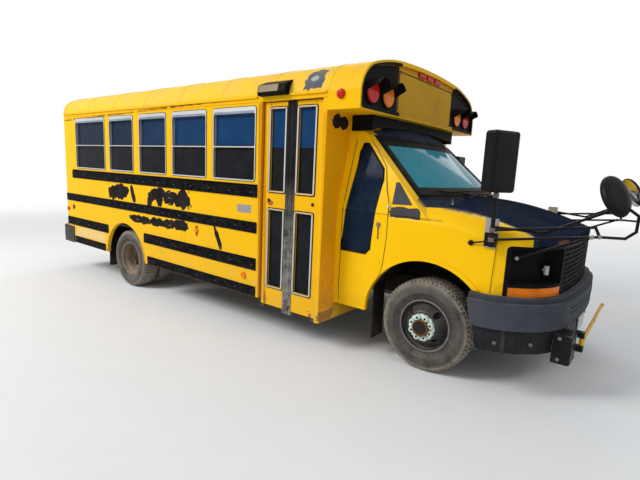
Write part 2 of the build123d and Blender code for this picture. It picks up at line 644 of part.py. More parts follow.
hood = nose_skin & hood_region(0)
COWL_HALF = BONNET_EDGE_Y
cowl_skin = nose_skin & block(CAB_SEAM_X - 5, COWL_X - PANEL_GAP, -COWL_HALF, COWL_HALF, 900, 1500)
fenders = nose_skin - hood_region(-PANEL_GAP)
fenders -= block(CAB_SEAM_X - 5, COWL_X + 1, -COWL_HALF - SEAT_GAP, COWL_HALF + SEAT_GAP, 600, 1500)
fenders -= lamp_region(0, -1300)
fender_parts = [solid for solid in fenders.solids() if solid.volume > 1e6]
LIP_PROUD = 7.0
LIP_WIDTH = 34.0
lip_y = CAB_HALF_WIDTH
finished = []
for part in fender_parts:
    side = 1 if part.center().Y > 0 else -1
    ring = disc_y(0, FRONT_ARCH_Z, FRONT_ARCH_RADIUS + LIP_WIDTH, side * (lip_y - 3), side * (lip_y + LIP_PROUD))
    ring -= disc_y(0, FRONT_ARCH_Z, FRONT_ARCH_RADIUS, side * (lip_y - 20), side * (lip_y + 20))
    ring &= block(CAB_SEAM_X, 400, -1300, 1300, PAD_TOP_Z + 5, 1200)
    finished.append(part + ring)
left_fender = max(finished, key=lambda part: part.center().Y)
DRIVER_HINGE = (CAB_SEAM_X + 2, CAB_HALF_WIDTH + 5)

# Wheel arch liners
liner = disc_y(0, FRONT_ARCH_Z, FRONT_ARCH_RADIUS + 12, 560, 1000) - disc_y(0, FRONT_ARCH_Z, FRONT_ARCH_RADIUS + 6, 500, 1010)
liner &= block(CAB_SEAM_X + 2, 480, 500, 1000, PAD_TOP_Z + 5, 1300)
liner += block(-330, 330, 560, 566, WHEEL_Z + 330, WHEEL_Z + FRONT_ARCH_RADIUS - 90) & block(-330, 330, 0, 900, 0, 850)
liner &= nose_loft(NOSE_SKIN + SEAT_GAP, 300) & nose_plan(-NOSE_SKIN - SEAT_GAP, 0, 1500)
body("wheel_liners", *both_sides(liner))

# Headlamp buckets, turn lamps and grille
BUCKET_DEPTH = 110.0
BUCKET_RIM = 20.0
TURN_Z = (722.0, 800.0)
bucket = nose_plan(0, NOSE_FLOOR_Z, LAMP_TOP_Z) - nose_plan(-BUCKET_DEPTH, NOSE_FLOOR_Z - 5, HEADER_Z + 5)
bucket &= lamp_region(SEAT_GAP, GRILLE_HALF + SEAT_GAP)
bucket_pocket = nose_plan(20, 0, 1500) - nose_plan(-BUCKET_DEPTH + 10, 0, 1500)
upper_pocket = bucket_pocket & block(LAMP_EDGE_X + 28, 2000, GRILLE_HALF + 28, 1300, 822, LAMP_TOP_Z - BUCKET_RIM)
turn_pocket = bucket_pocket & block(LAMP_EDGE_X + 28, 2000, GRILLE_HALF + 28, 1300, *TURN_Z)
bucket = bucket - upper_pocket - turn_pocket
turn_lens = nose_plan(-2, 0, 1500) - nose_plan(-50, 0, 1500)
inset = 28 + SEAT_GAP
turn_lens &= block(LAMP_EDGE_X + inset, 2000, GRILLE_HALF + inset, 1300, TURN_Z[0] + SEAT_GAP, TURN_Z[1] - SEAT_GAP)
ambers += both_sides(turn_lens)
body("headlamp_buckets", *both_sides(bucket))
lens = nose_plan(-4, 0, 1500) - nose_plan(-60, 0, 1500)
lens &= block(LAMP_EDGE_X + inset, 2000, GRILLE_HALF + inset, 1300, 822 + SEAT_GAP, LAMP_TOP_Z - BUCKET_RIM - SEAT_GAP)
bulb = rod((690.0, -620.0, 905.0), (752.0, -672.0, 905.0), 13) + rod((756.0, -676.0, 876.0), (756.0, -676.0, 940.0), 17)
bulb -= nose_plan(-BUCKET_DEPTH + 10, 0, 1500)
clears = [lens, bulb]
for side in (-1, 1):
    clears.append(rod((REAR_X, side * 790, 770), (REAR_X - 24, side * 790, 770), 52))

GRILLE_PLATE = 30.0
GRILLE_BAR = 6.0
grille = nose_plan(-6, NOSE_FLOOR_Z, LAMP_TOP_Z) - nose_plan(-6 - GRILLE_PLATE, NOSE_FLOOR_Z - 5, HEADER_Z + 5)
grille &= block(500, 2000, -GRILLE_HALF, GRILLE_HALF, 0, 1500)
COLUMNS = 26
ROWS = 10
cell_w = (2 * GRILLE_HALF - 40) / COLUMNS
cell_h = (LAMP_TOP_Z - NOSE_FLOOR_Z - 40) / ROWS
cell = Rectangle(cell_w - GRILLE_BAR, cell_h - GRILLE_BAR)
centre_z = (NOSE_FLOOR_Z + LAMP_TOP_Z) / 2
cell_plane = Plane(origin=(400, 0, centre_z), x_dir=(0, 1, 0), z_dir=(1, 0, 0))
cells = [cell_plane * spot * cell for spot in GridLocations(cell_w, cell_h, COLUMNS, ROWS)]
grille -= [extrude(opening, amount=800, dir=(1, 0, 0)) for opening in cells]
body("grille", grille)
HOOD_HINGE_Z = 1356.0
HOOD_BARREL = 7.0
for side in (-1, 1):
    y = side * 300.0
    knuckle = rod((COWL_X, y - 20, HOOD_HINGE_Z), (COWL_X, y + 20, HOOD_HINGE_Z), HOOD_BARREL)
    knuckle += block(COWL_X, COWL_X + 40, y - 20, y + 20, HOOD_HINGE_Z - 24, HOOD_HINGE_Z)
    knuckle -= rod((COWL_X, y - 21, HOOD_HINGE_Z), (COWL_X, y + 21, HOOD_HINGE_Z), HINGE_PIN + RUN_FIT)
    knuckle -= block(COWL_X - 20, COWL_X + 7, y - 21, y + 21, HOOD_HINGE_Z - 30, HOOD_HINGE_Z - HOOD_BARREL - 1)
    hood += knuckle
    cowl_skin += rod((COWL_X, y - 40, HOOD_HINGE_Z), (COWL_X, y + 40, HOOD_HINGE_Z), HINGE_PIN)
    for near in (y - 40, y + 20 + SEAT_GAP):
        far = near + 20 - SEAT_GAP
        cowl_skin += rod((COWL_X, near, HOOD_HINGE_Z), (COWL_X, far, HOOD_HINGE_Z), HOOD_BARREL)
        cowl_skin += block(COWL_X - 40, COWL_X, near, far, HOOD_HINGE_Z - 24, HOOD_HINGE_Z + HOOD_BARREL - 2)
body("hood", hood)
body("radiator", block(700, 760, -380, 380, CROSS_TOP_Z + SEAT_GAP, 1040))

# Windscreen surface: an arc in plan, swept back up the slope
SLOPE = Vector(-620.0, 0, 540.0).normalized()
SCREEN_BASE_Z = 1200.0
SCREEN_RUN = 1150.0


def screen_region(offset, back=-3000.0):
    """Everything behind the windscreen's outer surface moved by an offset."""
    base_x = 20.0 + (1350.0 - SCREEN_BASE_Z) * 620.0 / 540.0 + offset
    edges = [
        Line((back, -1100), (base_x - 250.0, -1100)),
        ThreePointArc((base_x - 250.0, -1100), (base_x, 0), (base_x - 250.0, 1100)),
        Line((base_x - 250.0, 1100), (back, 1100)),
        Line((back, 1100), (back, -1100)),
    ]
    return extrude(Pos(0, 0, SCREEN_BASE_Z) * make_face(edges), amount=SCREEN_RUN, dir=SLOPE)


# Cab cross-section. Columns: half width, height
CAB_SECTION = [(985.0, CAB_SILL_Z), (1003.0, 505.0), (1003.0, 1205.0), (985.0, 1300.0), (838.0, 1872.0)]
CAB_CROWN_Z = 1935.0
CAB_ROOF_EDGE = (780.0, 1905.0)


def cab_prism(inset, x0, x1, bottom=None):
    """Cab cross-section inside an inset."""
    points = [(y - inset, z) for y, z in CAB_SECTION]
    if bottom is not None:
        points[0] = (points[0][0], bottom)
    edge = (CAB_ROOF_EDGE[0] - 0.4 * inset, CAB_ROOF_EDGE[1] - 0.9 * inset)
    points[4] = (points[4][0], points[4][1] - 0.5 * inset)
    left = [(-y, z) for y, z in points]
    edges = [Line(a, b) for a, b in zip(points, points[1:])]
    edges += [Line(points[-1], edge), ThreePointArc(edge, (0, CAB_CROWN_Z - inset), (-edge[0], edge[1]))]
    edges += [Line((-edge[0], edge[1]), left[-1])]
    edges += [Line(a, b) for a, b in zip(left[::-1], left[-2::-1])]
    edges += [Line(left[0], points[0])]
    return extrude(Pos(x0, 0, 0) * (Plane.YZ * make_face(edges)), amount=x1 - x0, dir=(1, 0, 0))


lower_cab = cab_prism(0, FRONT_X, CAB_SEAM_X)
upper_region = block(CAB_SEAM_X - 5, 300, -1300, 1300, 1150, 2100)
upper_cab = (cab_prism(0, CAB_SEAM_X - 5, 300) & upper_region) - nose_loft(0, 600)
cab_outer = (lower_cab + upper_cab) & (screen_region(0) + block(FRONT_X, CAB_SEAM_X, -1300, 1300, 0, 1250))
cab_outer -= front_arch
room = cab_prism(CAB_WALL, FRONT_X - 20, CAB_SEAM_X - CAB_WALL, CAB_FLOOR_Z)
room &= block(FRONT_X - 20, 0, -1300, 1300, CAB_FLOOR_Z, 2100)
room -= disc_y(0, FRONT_ARCH_Z, FRONT_ARCH_RADIUS + CAB_WALL, -1300, 1300)
room_front = (cab_prism(CAB_WALL, CAB_SEAM_X - CAB_WALL - 5, 300) & upper_region) - nose_loft(0, 600)
room = (room + room_front) & (screen_region(-CAB_WALL) + block(FRONT_X - 20, CAB_SEAM_X - CAB_WALL, -1300, 1300, 0, 1250))
underside = block(FRONT_X - 5, CAB_SEAM_X + 5, -950, 950, 0, CAB_FLOOR_Z - CAB_WALL)
cab = cab_outer - room - underside
cab = cab + cowl_skin

# Windscreen opening and glass
SCREEN_LOW_Z = 1372.0
SCREEN_HIGH_Z = 1820.0
screen_hole = cab_prism(92, -900, 300) & (screen_region(60) - screen_region(-CAB_WALL - 40))
screen_hole &= block(-900, 300, -1300, 1300, SCREEN_LOW_Z, SCREEN_HIGH_Z)
cab -= screen_hole
screen = cab_prism(92 + SEAT_GAP, -900, 300) & (screen_region(-8) - screen_region(-14))
screen &= block(-900, 300, -1300, 1300, SCREEN_LOW_Z + SEAT_GAP, SCREEN_HIGH_Z - SEAT_GAP)

# Tall fixed window in the right side, where a van's own door would be
SIDE_GLASS = [
    (-778.0, 862.0),
    (-540.0, 862.0),
    (-500.0, 905.0),
    (-447.0, 1480.0),
    (-462.0, 1565.0),
    (-655.0, 1775.0),
    (-700.0, 1775.0),
    (-722.0, 1700.0),
    (-795.0, 905.0),
]


def drawn_in(points, gap, y0, y1):
    """Prism of an (X, Z) outline moved inwards by a gap."""
    outline = offset(make_face(Polyline(*points, close=True)), amount=-gap)
    return extrude(Pos(0, y0, 0) * (Plane.XZ * outline), amount=y1 - y0, dir=(0, 1, 0))


side_band = cab_prism(6, -900, 100, 500) - cab_prism(12, -901, 101, 500)
cab -= along_y(SIDE_GLASS, -1300, -600)
side_pane = side_band & drawn_in(SIDE_GLASS, SEAT_GAP, -1300, -600)

# Driver's door in the left side
DOOR_OUTLINE = [
    (-795.0, 520.0),
    (-470.0, 520.0),
    (-382.0, 788.0),
    (-362.0, 1031.0),
    (-362.0, 1290.0),
    (-446.0, 1580.0),
    (-636.0, 1800.0),
    (-795.0, 1800.0),
]
DOOR_OPENING = [
    (-817.0, 512.0),
    (-464.0, 512.0),
    (-376.0, 788.0),
    (CAB_SEAM_X + 1, 1031.0),
    (CAB_SEAM_X + 1, 1292.0),
    (-438.0, 1586.0),
    (-632.0, 1812.0),
    (-817.0, 1812.0),
]
DOOR_WINDOW = [(-772.0, 1325.0), (-398.0, 1325.0), (-470.0, 1560.0), (-655.0, 1772.0), (-772.0, 1772.0)]
driver_door = (lower_cab - cab_prism(CAB_WALL, -900, 0, 300)) & along_y(DOOR_OUTLINE, 700, 1300)
driver_door -= disc_y(0, FRONT_ARCH_Z, FRONT_ARCH_RADIUS + 6, 0, 1300)
driver_door -= along_y(DOOR_WINDOW, 600, 1300)
driver_door = max(driver_door.solids(), key=lambda s: s.volume)
door_handle = block(-775, -640, CAB_HALF_WIDTH - 1, CAB_HALF_WIDTH + 22, 1130, 1160)
driver_door += fillet(door_handle.edges().filter_by(Axis.Y), 8)
doorway = along_y(DOOR_OPENING, CAB_HALF_WIDTH - CAB_WALL - 1, 1300)
doorway += along_y(DOOR_OPENING, 700, 1300) & block(-900, 0, 700, 1300, 1200, 2000)
cab -= doorway
driver_pane = (side_band & drawn_in(DOOR_WINDOW, SEAT_GAP, 600, 1300)).solids()
HINGE_RECESS = (DRIVER_HINGE[0] - 42, CAB_SEAM_X + 1, CAB_HALF_WIDTH - 12, 1300, 698, 790)
cab -= block(*HINGE_RECESS)
for z in (700.0, 1100.0):
    moving, fixed, room = upright_hinge(
        *DRIVER_HINGE, z, z + 60,
        (DRIVER_HINGE[0] - 40, DRIVER_HINGE[0], CAB_HALF_WIDTH - 2, DRIVER_HINGE[1] + 4),
        (DRIVER_HINGE[0], DRIVER_HINGE[0] + 40, CAB_HALF_WIDTH - 2, DRIVER_HINGE[1] + 4),
    )
    driver_door += moving
    left_fender = left_fender + fixed - room
finished = [part for part in finished if part.center().Y < 0] + [left_fender]
body("front_fenders", *finished)
cab_solids = sorted(cab.solids(), key=lambda s: -s.volume)
body("cab_shell", cab_solids[0])
body("cab_glass", screen, side_pane)
BROW_HALF = 850.0
BROW_FRONT_X = -640.0
BROW_BOTTOM_Z = 1880.0
brow = block(FRONT_X + SEAT_GAP, BROW_FRONT_X, -BROW_HALF, BROW_HALF, BROW_BOTTOM_Z, CAP_BOTTOM_Z - SEAT_GAP)
brow = (brow - cab_prism(-SEAT_GAP, -900, 300)).solids().sort_by(Axis.Z)[-1]
housings.append(brow)
body("driver_door", driver_door)
body("driver_door_glass", *driver_pane)

# Dashboard, steering column and wheel
dash_x = CAB_SEAM_X - CAB_WALL - SEAT_GAP
dash = along_y([(dash_x, 1290), (-530, 1268), (-560, 1190), (-520, 1040), (dash_x, 1000)], -880, 880)
column_top = Vector(-640, 430, 1225)
column_foot = Vector(-520, 430, 1135)
column = rod(tuple(column_foot), tuple(column_top), 26)
aim = (column_top - column_foot).normalized()
wheel_plane = Plane(origin=tuple(column_top), z_dir=aim)
steering = wheel_plane * Torus(190, 15) + rod(tuple(column_top - aim * 30), tuple(column_top + aim * 12), 55)
for turn in (0, 120, 240):
    spoke = wheel_plane * (Rot(0, 0, turn + 90) * (Pos(95, 0, 0) * Box(200, 34, 12)))
    steering += spoke
dash_unit = dash + column + steering
body("dashboard", dash_unit)

# Seats: padded bodies and their stands
pads = []
stands = []
SEAT_PITCH = 708.0
SEAT_OUT_Y = 1150.0
SEAT_IN_Y = 215.0
FIRST_BACK_X = -5560.0


def bench(x, side):
    """Two-person bench: padded cushion and back, and its steel stand."""
    y0, y1 = sorted((side * SEAT_OUT_Y, side * SEAT_IN_Y))
    seat_z = FLOOR_Z + 340
    profile = [(x, seat_z - 30), (x + 480, seat_z), (x + 480, seat_z + 110), (x + 120, seat_z + 95)]
    profile += [(x + 55, seat_z + 660), (x - 40, seat_z + 660), (x - 20, seat_z + 60)]
    pads.append(along_y(profile, y0, y1))
    legs = []
    for y in (y0 + 90, y1 - 90):
        legs.append(block(x + 60, x + 90, y - 12, y + 12, FLOOR_Z, seat_z - 35))
        legs.append(block(x + 400, x + 430, y - 12, y + 12, FLOOR_Z, seat_z - 12))
    deck = along_y([(x + 20, seat_z - 50), (x + 460, seat_z - 22), (x + 460, seat_z - 2), (x + 20, seat_z - 29.5)], y0 + 20, y1 - 20)
    stand = deck
    for leg in legs:
        stand += leg
    stands.append(stand - along_y(profile, y0 - 5, y1 + 5))


for row in range(6):
    x = FIRST_BACK_X + row * SEAT_PITCH
    bench(x, 1)
    if row < 5:
        bench(x, -1)
driver_seat = [(-1040, 905), (-560, 930), (-560, 1025), (-900, 1010), (-1010, 1560), (-1100, 1560), (-1070, 960)]
pads.append(along_y(driver_seat, 180, 680))
stands.append(block(-840, -600, 260, 600, CAB_FLOOR_Z, 940) - along_y(driver_seat, 100, 800))
body("seat_pads", *pads)
body("seat_stands", *stands)

# Mirrors: oval mirror on bent tubes on each fender, tall mirror on the right fender's
# post and on the driver's door
MIRROR_POST = (470.0, 1060.0)
MIRROR_Z = (1440.0, 1835.0)
MIRROR_HALF = 112.0
MIRROR_TURN = -25.0
OVAL_CENTRE = (1102.0, 800.0, 1455.0)
OVAL_TURN = 46.0
OVAL_LEAN = 30.0
OVAL_BOWL = (55.0, 95.0, 142.0)
TUBE_RADIUS = 9.0


def tall_head(x, y, z0, z1, turn):
    """Rounded rectangular mirror head and its glass, turned about its own post."""
    place = Pos(x, y, 0) * Rot(0, 0, turn)
    head = block(-45, 55, -MIRROR_HALF, MIRROR_HALF, z0, z1)
    glass_half = MIRROR_HALF - 22
    glass = block(-48.3, -45.3, -glass_half, glass_half, z0 + 25, z1 - 25)
    return place * fillet(head.edges(), 22), place * glass


def oval_mirror(side):
    """Convex crossover mirror: black bowl and glass, turned in towards the driver."""
    bowl = scale(Sphere(1), by=OVAL_BOWL) & block(0, 100, -200, 200, -200, 200)
    glass = Pos(-2.3, 0, 0) * scale(Cylinder(1, 4, rotation=(0, 90, 0)), by=(1, OVAL_BOWL[1] - 5, OVAL_BOWL[2] - 6))
    place = Pos(OVAL_CENTRE[0], side * OVAL_CENTRE[1], OVAL_CENTRE[2]) * Rot(0, 0, side * OVAL_TURN) * Rot(0, -OVAL_LEAN, 0)
    return place * bowl, place * glass


def fender_mirror(side):
    """Post, bent tubes and oval mirror on one fender."""
    px, py = MIRROR_POST[0], side * MIRROR_POST[1]
    plate = block(410, 492, side * 980, side * 1016, 1070, 1165) - nose_solid
    top = MIRROR_Z[0] + 40 if side < 0 else 1230.0
    frame = rod((px, py, 1075), (px, py, top), 14) + plate
    frame += block(px - 25, px + 25, side * 1008, py, 1085, 1150)
    bowl, glass = oval_mirror(side)
    frame += bowl
    joint = (1058.0, side * 850.0, 1200.0)
    knee = (1186.0, side * 803.0, 1203.0)
    rise = (1236.0, side * 795.0, 1250.0)
    neck = (1238.0, side * 796.0, 1345.0)
    routes = [
        [(px, py, 1190.0), (1030.0, side * 852.0, 1258.0), joint],
        [(px, py, 1125.0), joint, knee, rise, neck, (1150.0, side * 835.0, 1412.0)],
        [(px, py, 1212.0), (760.0, side * 925.0, 1195.0), (1105.0, side * 822.0, 1372.0)],
        [(1020.0, side * 868.0, 1195.0), (620.0, side * 950.0, 1008.0)],
    ]
    for route in routes:
        for start, end in zip(route, route[1:]):
            frame += rod(start, end, TUBE_RADIUS)
            frame += Pos(*end) * Sphere(TUBE_RADIUS + 0.5)
    return frame, glass


right_frame, right_glass = fender_mirror(-1)
left_frame, left_glass = fender_mirror(1)
right_head, head_glass = tall_head(MIRROR_POST[0], -MIRROR_POST[1], *MIRROR_Z, MIRROR_TURN)
body("mirror_frames", right_frame + right_head, left_frame)
body("mirror_glass", right_glass, head_glass, left_glass)

# Tall mirror of the driver's door, on its bracket
DOOR_MIRROR_X = -662.0
DOOR_MIRROR_Y = 1150.0
DOOR_MIRROR_Z = (1442.0, 1760.0)
door_head, door_glass = tall_head(DOOR_MIRROR_X, DOOR_MIRROR_Y, *DOOR_MIRROR_Z, 0)
bracket = rod((DOOR_MIRROR_X, DOOR_MIRROR_Y, 1375.0), (DOOR_MIRROR_X, DOOR_MIRROR_Y, 1450.0), 14)
BRACKET_FEET = ((1180.0, 1215.0), (1250.0, 1290.0))
for low, high in BRACKET_FEET:
    foot = (DOOR_MIRROR_X, CAB_HALF_WIDTH - 4, (low + high) / 2)
    bracket += rod(foot, (DOOR_MIRROR_X, DOOR_MIRROR_Y, 1385.0), 10)
    bracket += block(foot[0] - 30, foot[0] + 30, CAB_HALF_WIDTH - 20, CAB_HALF_WIDTH + 6, low, high)
driver_mirror = door_head + (bracket - cab_prism(-SEAT_GAP, -900, 0))
body("driver_mirror", driver_mirror.solids().sort_by(SortBy.VOLUME)[-1], door_glass)

# Front bumper: steel beam under a moulded pad, cut back at the wheels
PAD_Z = (516.0, PAD_TOP_Z)
STEEL_Z = (342.0, PAD_Z[0])
WRAP_REAR = [(352.0, 760.0), (350.0, 701.0), (440.0, 286.0), (1300.0, 286.0), (1300.0, 760.0)]
wrap = along_y(WRAP_REAR, -1300, 1300)
pad = nose_plan(72, *PAD_Z) - nose_plan(SEAT_GAP, PAD_Z[0] - 5, PAD_Z[1] + 5)
shoulder_cut = nose_plan(90, PAD_Z[1] - 38, PAD_Z[1] + 5) - nose_plan(40, PAD_Z[1] - 45, PAD_Z[1] + 10)
pad = (pad - shoulder_cut) & wrap
steel = nose_plan(44, *STEEL_Z) - nose_plan(SEAT_GAP, STEEL_Z[0] - 5, STEEL_Z[1] + 5)
steel &= wrap
ARM_BOX = (862.0, 985.0, -735.0, -560.0, 276.0, 488.0)
arm_case = block(*ARM_BOX)
steel += chamfer(arm_case.edges().filter_by(Axis.Y).group_by(Axis.X)[-1], 14) - nose_plan(20, 200, 560)
ARM_PIVOT_X = 1018.0
ARM_PIVOT_Y = -550.0
ARM_PIN = 8.0
ARM_LUGS = ((342.0, 385.0), (445.0, 488.0))
for low, high in ARM_LUGS:
    steel += block(970, ARM_PIVOT_X + 14, ARM_PIVOT_Y - 24, ARM_PIVOT_Y + 22, low, high)
arm_foot = (ARM_PIVOT_X, ARM_PIVOT_Y, ARM_LUGS[0][0])
arm_head = (ARM_PIVOT_X, ARM_PIVOT_Y, ARM_LUGS[1][1])
steel -= rod(arm_foot, arm_head, ARM_PIN + RUN_FIT)
body("bumper_pad", pad)
body("front_bumper", steel)

# Crossing arm: hinged frame that rests across the bumper
ARM_END_Y = 720.0
ARM_LOW_Z = 404.0
ARM_HIGH_Z = 428.0
arm = rod(arm_foot, arm_head, ARM_PIN)
arm += rod((*arm_foot[:2], 390.5), (*arm_foot[:2], 439.5), 16)
bend = (ARM_PIVOT_X, ARM_END_Y - 60, ARM_HIGH_Z)
tip = (ARM_PIVOT_X, ARM_END_Y, ARM_LOW_Z)
arm += rod((*arm_foot[:2], ARM_LOW_Z), tip, 11)
arm += rod((*arm_foot[:2], ARM_HIGH_Z), bend, 8)
arm += rod(bend, tip, 8)
body("crossing_arm", arm)

# Stop arm folded flat against the left side
STOP_HINGE = (-1010.0, HALF_WIDTH + 34.0)
STOP_Z = 1120.0
STOP_RADIUS = 247.0
stop_centre_x = STOP_HINGE[0] - 300.0
sign = Pos(stop_centre_x, STOP_HINGE[1] - 2, STOP_Z) * (
    Rot(90, 0, 0) * extrude(Rot(0, 0, 22.5) * RegularPolygon(STOP_RADIUS, 8), amount=4)
)
stop = sign + block(stop_centre_x + 150, STOP_HINGE[0], STOP_HINGE[1] - 9, STOP_HINGE[1] - 3, STOP_Z - 60, STOP_Z + 60)
stop += rod((*STOP_HINGE, STOP_Z - 90), (*STOP_HINGE, STOP_Z + 90), ARM_PIN)
stop += block(STOP_HINGE[0] - 20, STOP_HINGE[0], STOP_HINGE[1] - 9, STOP_HINGE[1] + 3, STOP_Z - 60, STOP_Z + 60)
body("stop_arm", stop)
bracket = block(STOP_HINGE[0] - 14, STOP_HINGE[0] + 40, HALF_WIDTH + RAIL_DEPTH + 0.3, SIDE_REACH, STOP_Z - 92, STOP_Z - 64)
bracket += block(STOP_HINGE[0] - 14, STOP_HINGE[0] + 40, HALF_WIDTH + RAIL_DEPTH + 0.3, SIDE_REACH, STOP_Z + 64, STOP_Z + 92)
bracket += block(STOP_HINGE[0] + 20, STOP_HINGE[0] + 60, HALF_WIDTH, SIDE_REACH, STOP_Z - 92, STOP_Z + 92)
bracket -= rod((*STOP_HINGE, 900), (*STOP_HINGE, 1400), ARM_PIN + RUN_FIT)
housings.append(bracket)

body("lamp_housings", *housings)
body("red_lamps", *reds)
body("amber_lamps", *ambers)
body("clear_lamps", *clears)
body("sign_panels", *signs)


# Chassis frame
def channel(side):
    """C-section side rail, open towards the centre."""
    y0, y1 = sorted((side * RAIL_INNER_Y, side * RAIL_OUTER_Y))
    rail = block(SEAT_GAP - 5838, 900, y0, y1, FRAME_BOTTOM_Z, FRAME_TOP_Z) & nose_plan(0, 0, 700, -6000.0)
    c0, c1 = sorted((side * (RAIL_INNER_Y - 5), side * (RAIL_OUTER_Y - RAIL_WEB)))
    return rail - block(-5840, 860, c0, c1, FRAME_BOTTOM_Z + RAIL_WEB, FRAME_TOP_Z - RAIL_WEB)


frame = [channel(1), channel(-1)]
CROSS_STATIONS = (-5600.0, -4750.0, -3250.0, -2450.0, -1650.0, -800.0, 730.0)
WEB_Y = RAIL_OUTER_Y - RAIL_WEB
for x in CROSS_STATIONS:
    frame.append(block(x - 40, x + 40, -WEB_Y, WEB_Y, 490, CROSS_TOP_Z))
SPRING_HALF = 650.0
SPRING_THICK = 38.0
SPRING_END_Z = 412.0
for side in (-1, 1):
    y0, y1 = sorted((side * RAIL_OUTER_Y, side * 580))
    for x in (AXLE_X - SPRING_HALF, AXLE_X + SPRING_HALF):
        frame.append(block(x - 40, x + 40, y0, y1, SPRING_END_Z + SPRING_THICK + SEAT_GAP, 600))
body("chassis_frame", *frame)

# Engine with gearbox as one heavy block
engine = block(-116, 560, -260, 260, 450, 950)
engine = fillet(engine.edges().filter_by(Axis.X), 60)
engine += block(-700, -113, -150, 150, 400, 612)
engine += block(200, 260, -RAIL_OUTER_Y + 8 + SEAT_GAP, RAIL_OUTER_Y - 8 - SEAT_GAP, 520, 560)
body("engine", engine)

# Rear axle with differential and propeller shaft
axle_z = AXLE_Z
axle = disc_y(AXLE_X, axle_z, 55, -690, 690) + Pos(AXLE_X, 0, axle_z) * Sphere(150)
for side in (-1, 1):
    axle += disc_y(AXLE_X, axle_z, 35, side * 680, side * 960)
    axle += block(AXLE_X - 60, AXLE_X + 60, side * 505, side * 575, axle_z, axle_z + 58)
axle += rod((-702, 0, 440), (AXLE_X + 100, 0, axle_z), 38)
body("rear_axle", axle)

# Leaf springs over the axle
springs = []
spring_low = axle_z + 58 + SEAT_GAP
for side in (-1, 1):
    y0, y1 = sorted((side * 507, side * 573))
    low = [
        ThreePointArc((AXLE_X - SPRING_HALF, SPRING_END_Z), (AXLE_X, spring_low), (AXLE_X + SPRING_HALF, SPRING_END_Z)),
        Line((AXLE_X + SPRING_HALF, SPRING_END_Z), (AXLE_X + SPRING_HALF, SPRING_END_Z + SPRING_THICK)),
        ThreePointArc(
            (AXLE_X + SPRING_HALF, SPRING_END_Z + SPRING_THICK),
            (AXLE_X, spring_low + SPRING_THICK),
            (AXLE_X - SPRING_HALF, SPRING_END_Z + SPRING_THICK),
        ),
        Line((AXLE_X - SPRING_HALF, SPRING_END_Z + SPRING_THICK), (AXLE_X - SPRING_HALF, SPRING_END_Z)),
    ]
    springs.append(extrude(Pos(0, y0, 0) * (Plane.XZ * make_face(low)), amount=y1 - y0, dir=(0, 1, 0)))
body("rear_springs", *springs)

# Exhaust, fuel tank, rear bumper and mud flaps
exhaust = rod((-300, -330, 395), (-5640, -330, 395), 32)
exhaust += rod((-2750, -330, 395), (-2050, -330, 395), 42)
for x in (-2450.0, -1650.0, -4750.0, -5600.0):
    exhaust += block(x - 12, x + 12, -336, -324, 395, 490 - SEAT_GAP)
body("exhaust", exhaust)
tank = block(-3250, -2250, 500, 1080, 350, FRAME_TOP_Z - SEAT_GAP)
body("fuel_tank", fillet(tank.edges().filter_by(Axis.X), 60))

BUMPER_Z = (287.0, 530.0)
rear_plan = [(-5490.0, 1207.3), (-5490.0, 1219.3), (-5800.0, 1219.3), (-5850.0, 1160.0), (-5850.0, 0.0), (-5838.0, 0.0)]
rear_plan += [(-5838.0, 1155.0), (-5793.0, 1207.3)]
half_bumper = along_z(rear_plan, *BUMPER_Z)
rear_bumper = half_bumper + mirror(half_bumper, about=Plane.XZ)
body("rear_bumper", rear_bumper)

flaps = [block(-478, -470, 760, 940, 130, CAB_FLOOR_Z - CAB_WALL - SEAT_GAP)]
flaps.append(block(-4568, -4560, 660, 1150, 90, FLOOR_Z - FLOOR_PLATE - SEAT_GAP))
body("mud_flaps", *[part for flap in flaps for part in both_sides(flap)])


# Wheels
def tyre(y):
    """Tyre revolved about the wheel's axle, centred at a side offset."""
    half = TYRE_WIDTH / 2
    bead = RIM_WIDTH / 2 - 3
    r = TYRE_RADIUS
    edges = [
        Line((-bead, BEAD_RADIUS + SEAT_GAP), (-bead, FLANGE_RADIUS + 2)),
        ThreePointArc((-bead, FLANGE_RADIUS + 2), (-half, 290), (-half + 14, 348)),
        ThreePointArc((-half + 14, 348), (-half + 22, 359), (-half + 36, 364)),
        ThreePointArc((-half + 36, 364), (0, r), (half - 36, 364)),
        ThreePointArc((half - 36, 364), (half - 22, 359), (half - 14, 348)),
        ThreePointArc((half - 14, 348), (half, 290), (bead, FLANGE_RADIUS + 2)),
        Line((bead, FLANGE_RADIUS + 2), (bead, BEAD_RADIUS + SEAT_GAP)),
        Line((bead, BEAD_RADIUS + SEAT_GAP), (bead - 18, BEAD_RADIUS + SEAT_GAP)),
        Line((bead - 18, BEAD_RADIUS + SEAT_GAP), (half - 20, 290)),
        Line((half - 20, 290), (half - 34, 344)),
        Line((half - 34, 344), (-half + 34, 344)),
        Line((-half + 34, 344), (-half + 20, 290)),
        Line((-half + 20, 290), (-bead + 18, BEAD_RADIUS + SEAT_GAP)),
        Line((-bead + 18, BEAD_RADIUS + SEAT_GAP), (-bead, BEAD_RADIUS + SEAT_GAP)),
    ]
    section = Plane(origin=(0, y, 0), x_dir=(0, 1, 0), z_dir=(1, 0, 0)) * make_face(edges)
    return revolve(section, Axis((0, 0, 0), (0, 1, 0)))


def revolved(points, y):
    """Closed (side offset, radius) outline revolved about the axle."""
    section = Plane(origin=(0, y, 0), x_dir=(0, 1, 0), z_dir=(1, 0, 0)) * make_face(Polyline(*points, close=True))
    return revolve(section, Axis((0, 0, 0), (0, 1, 0)))


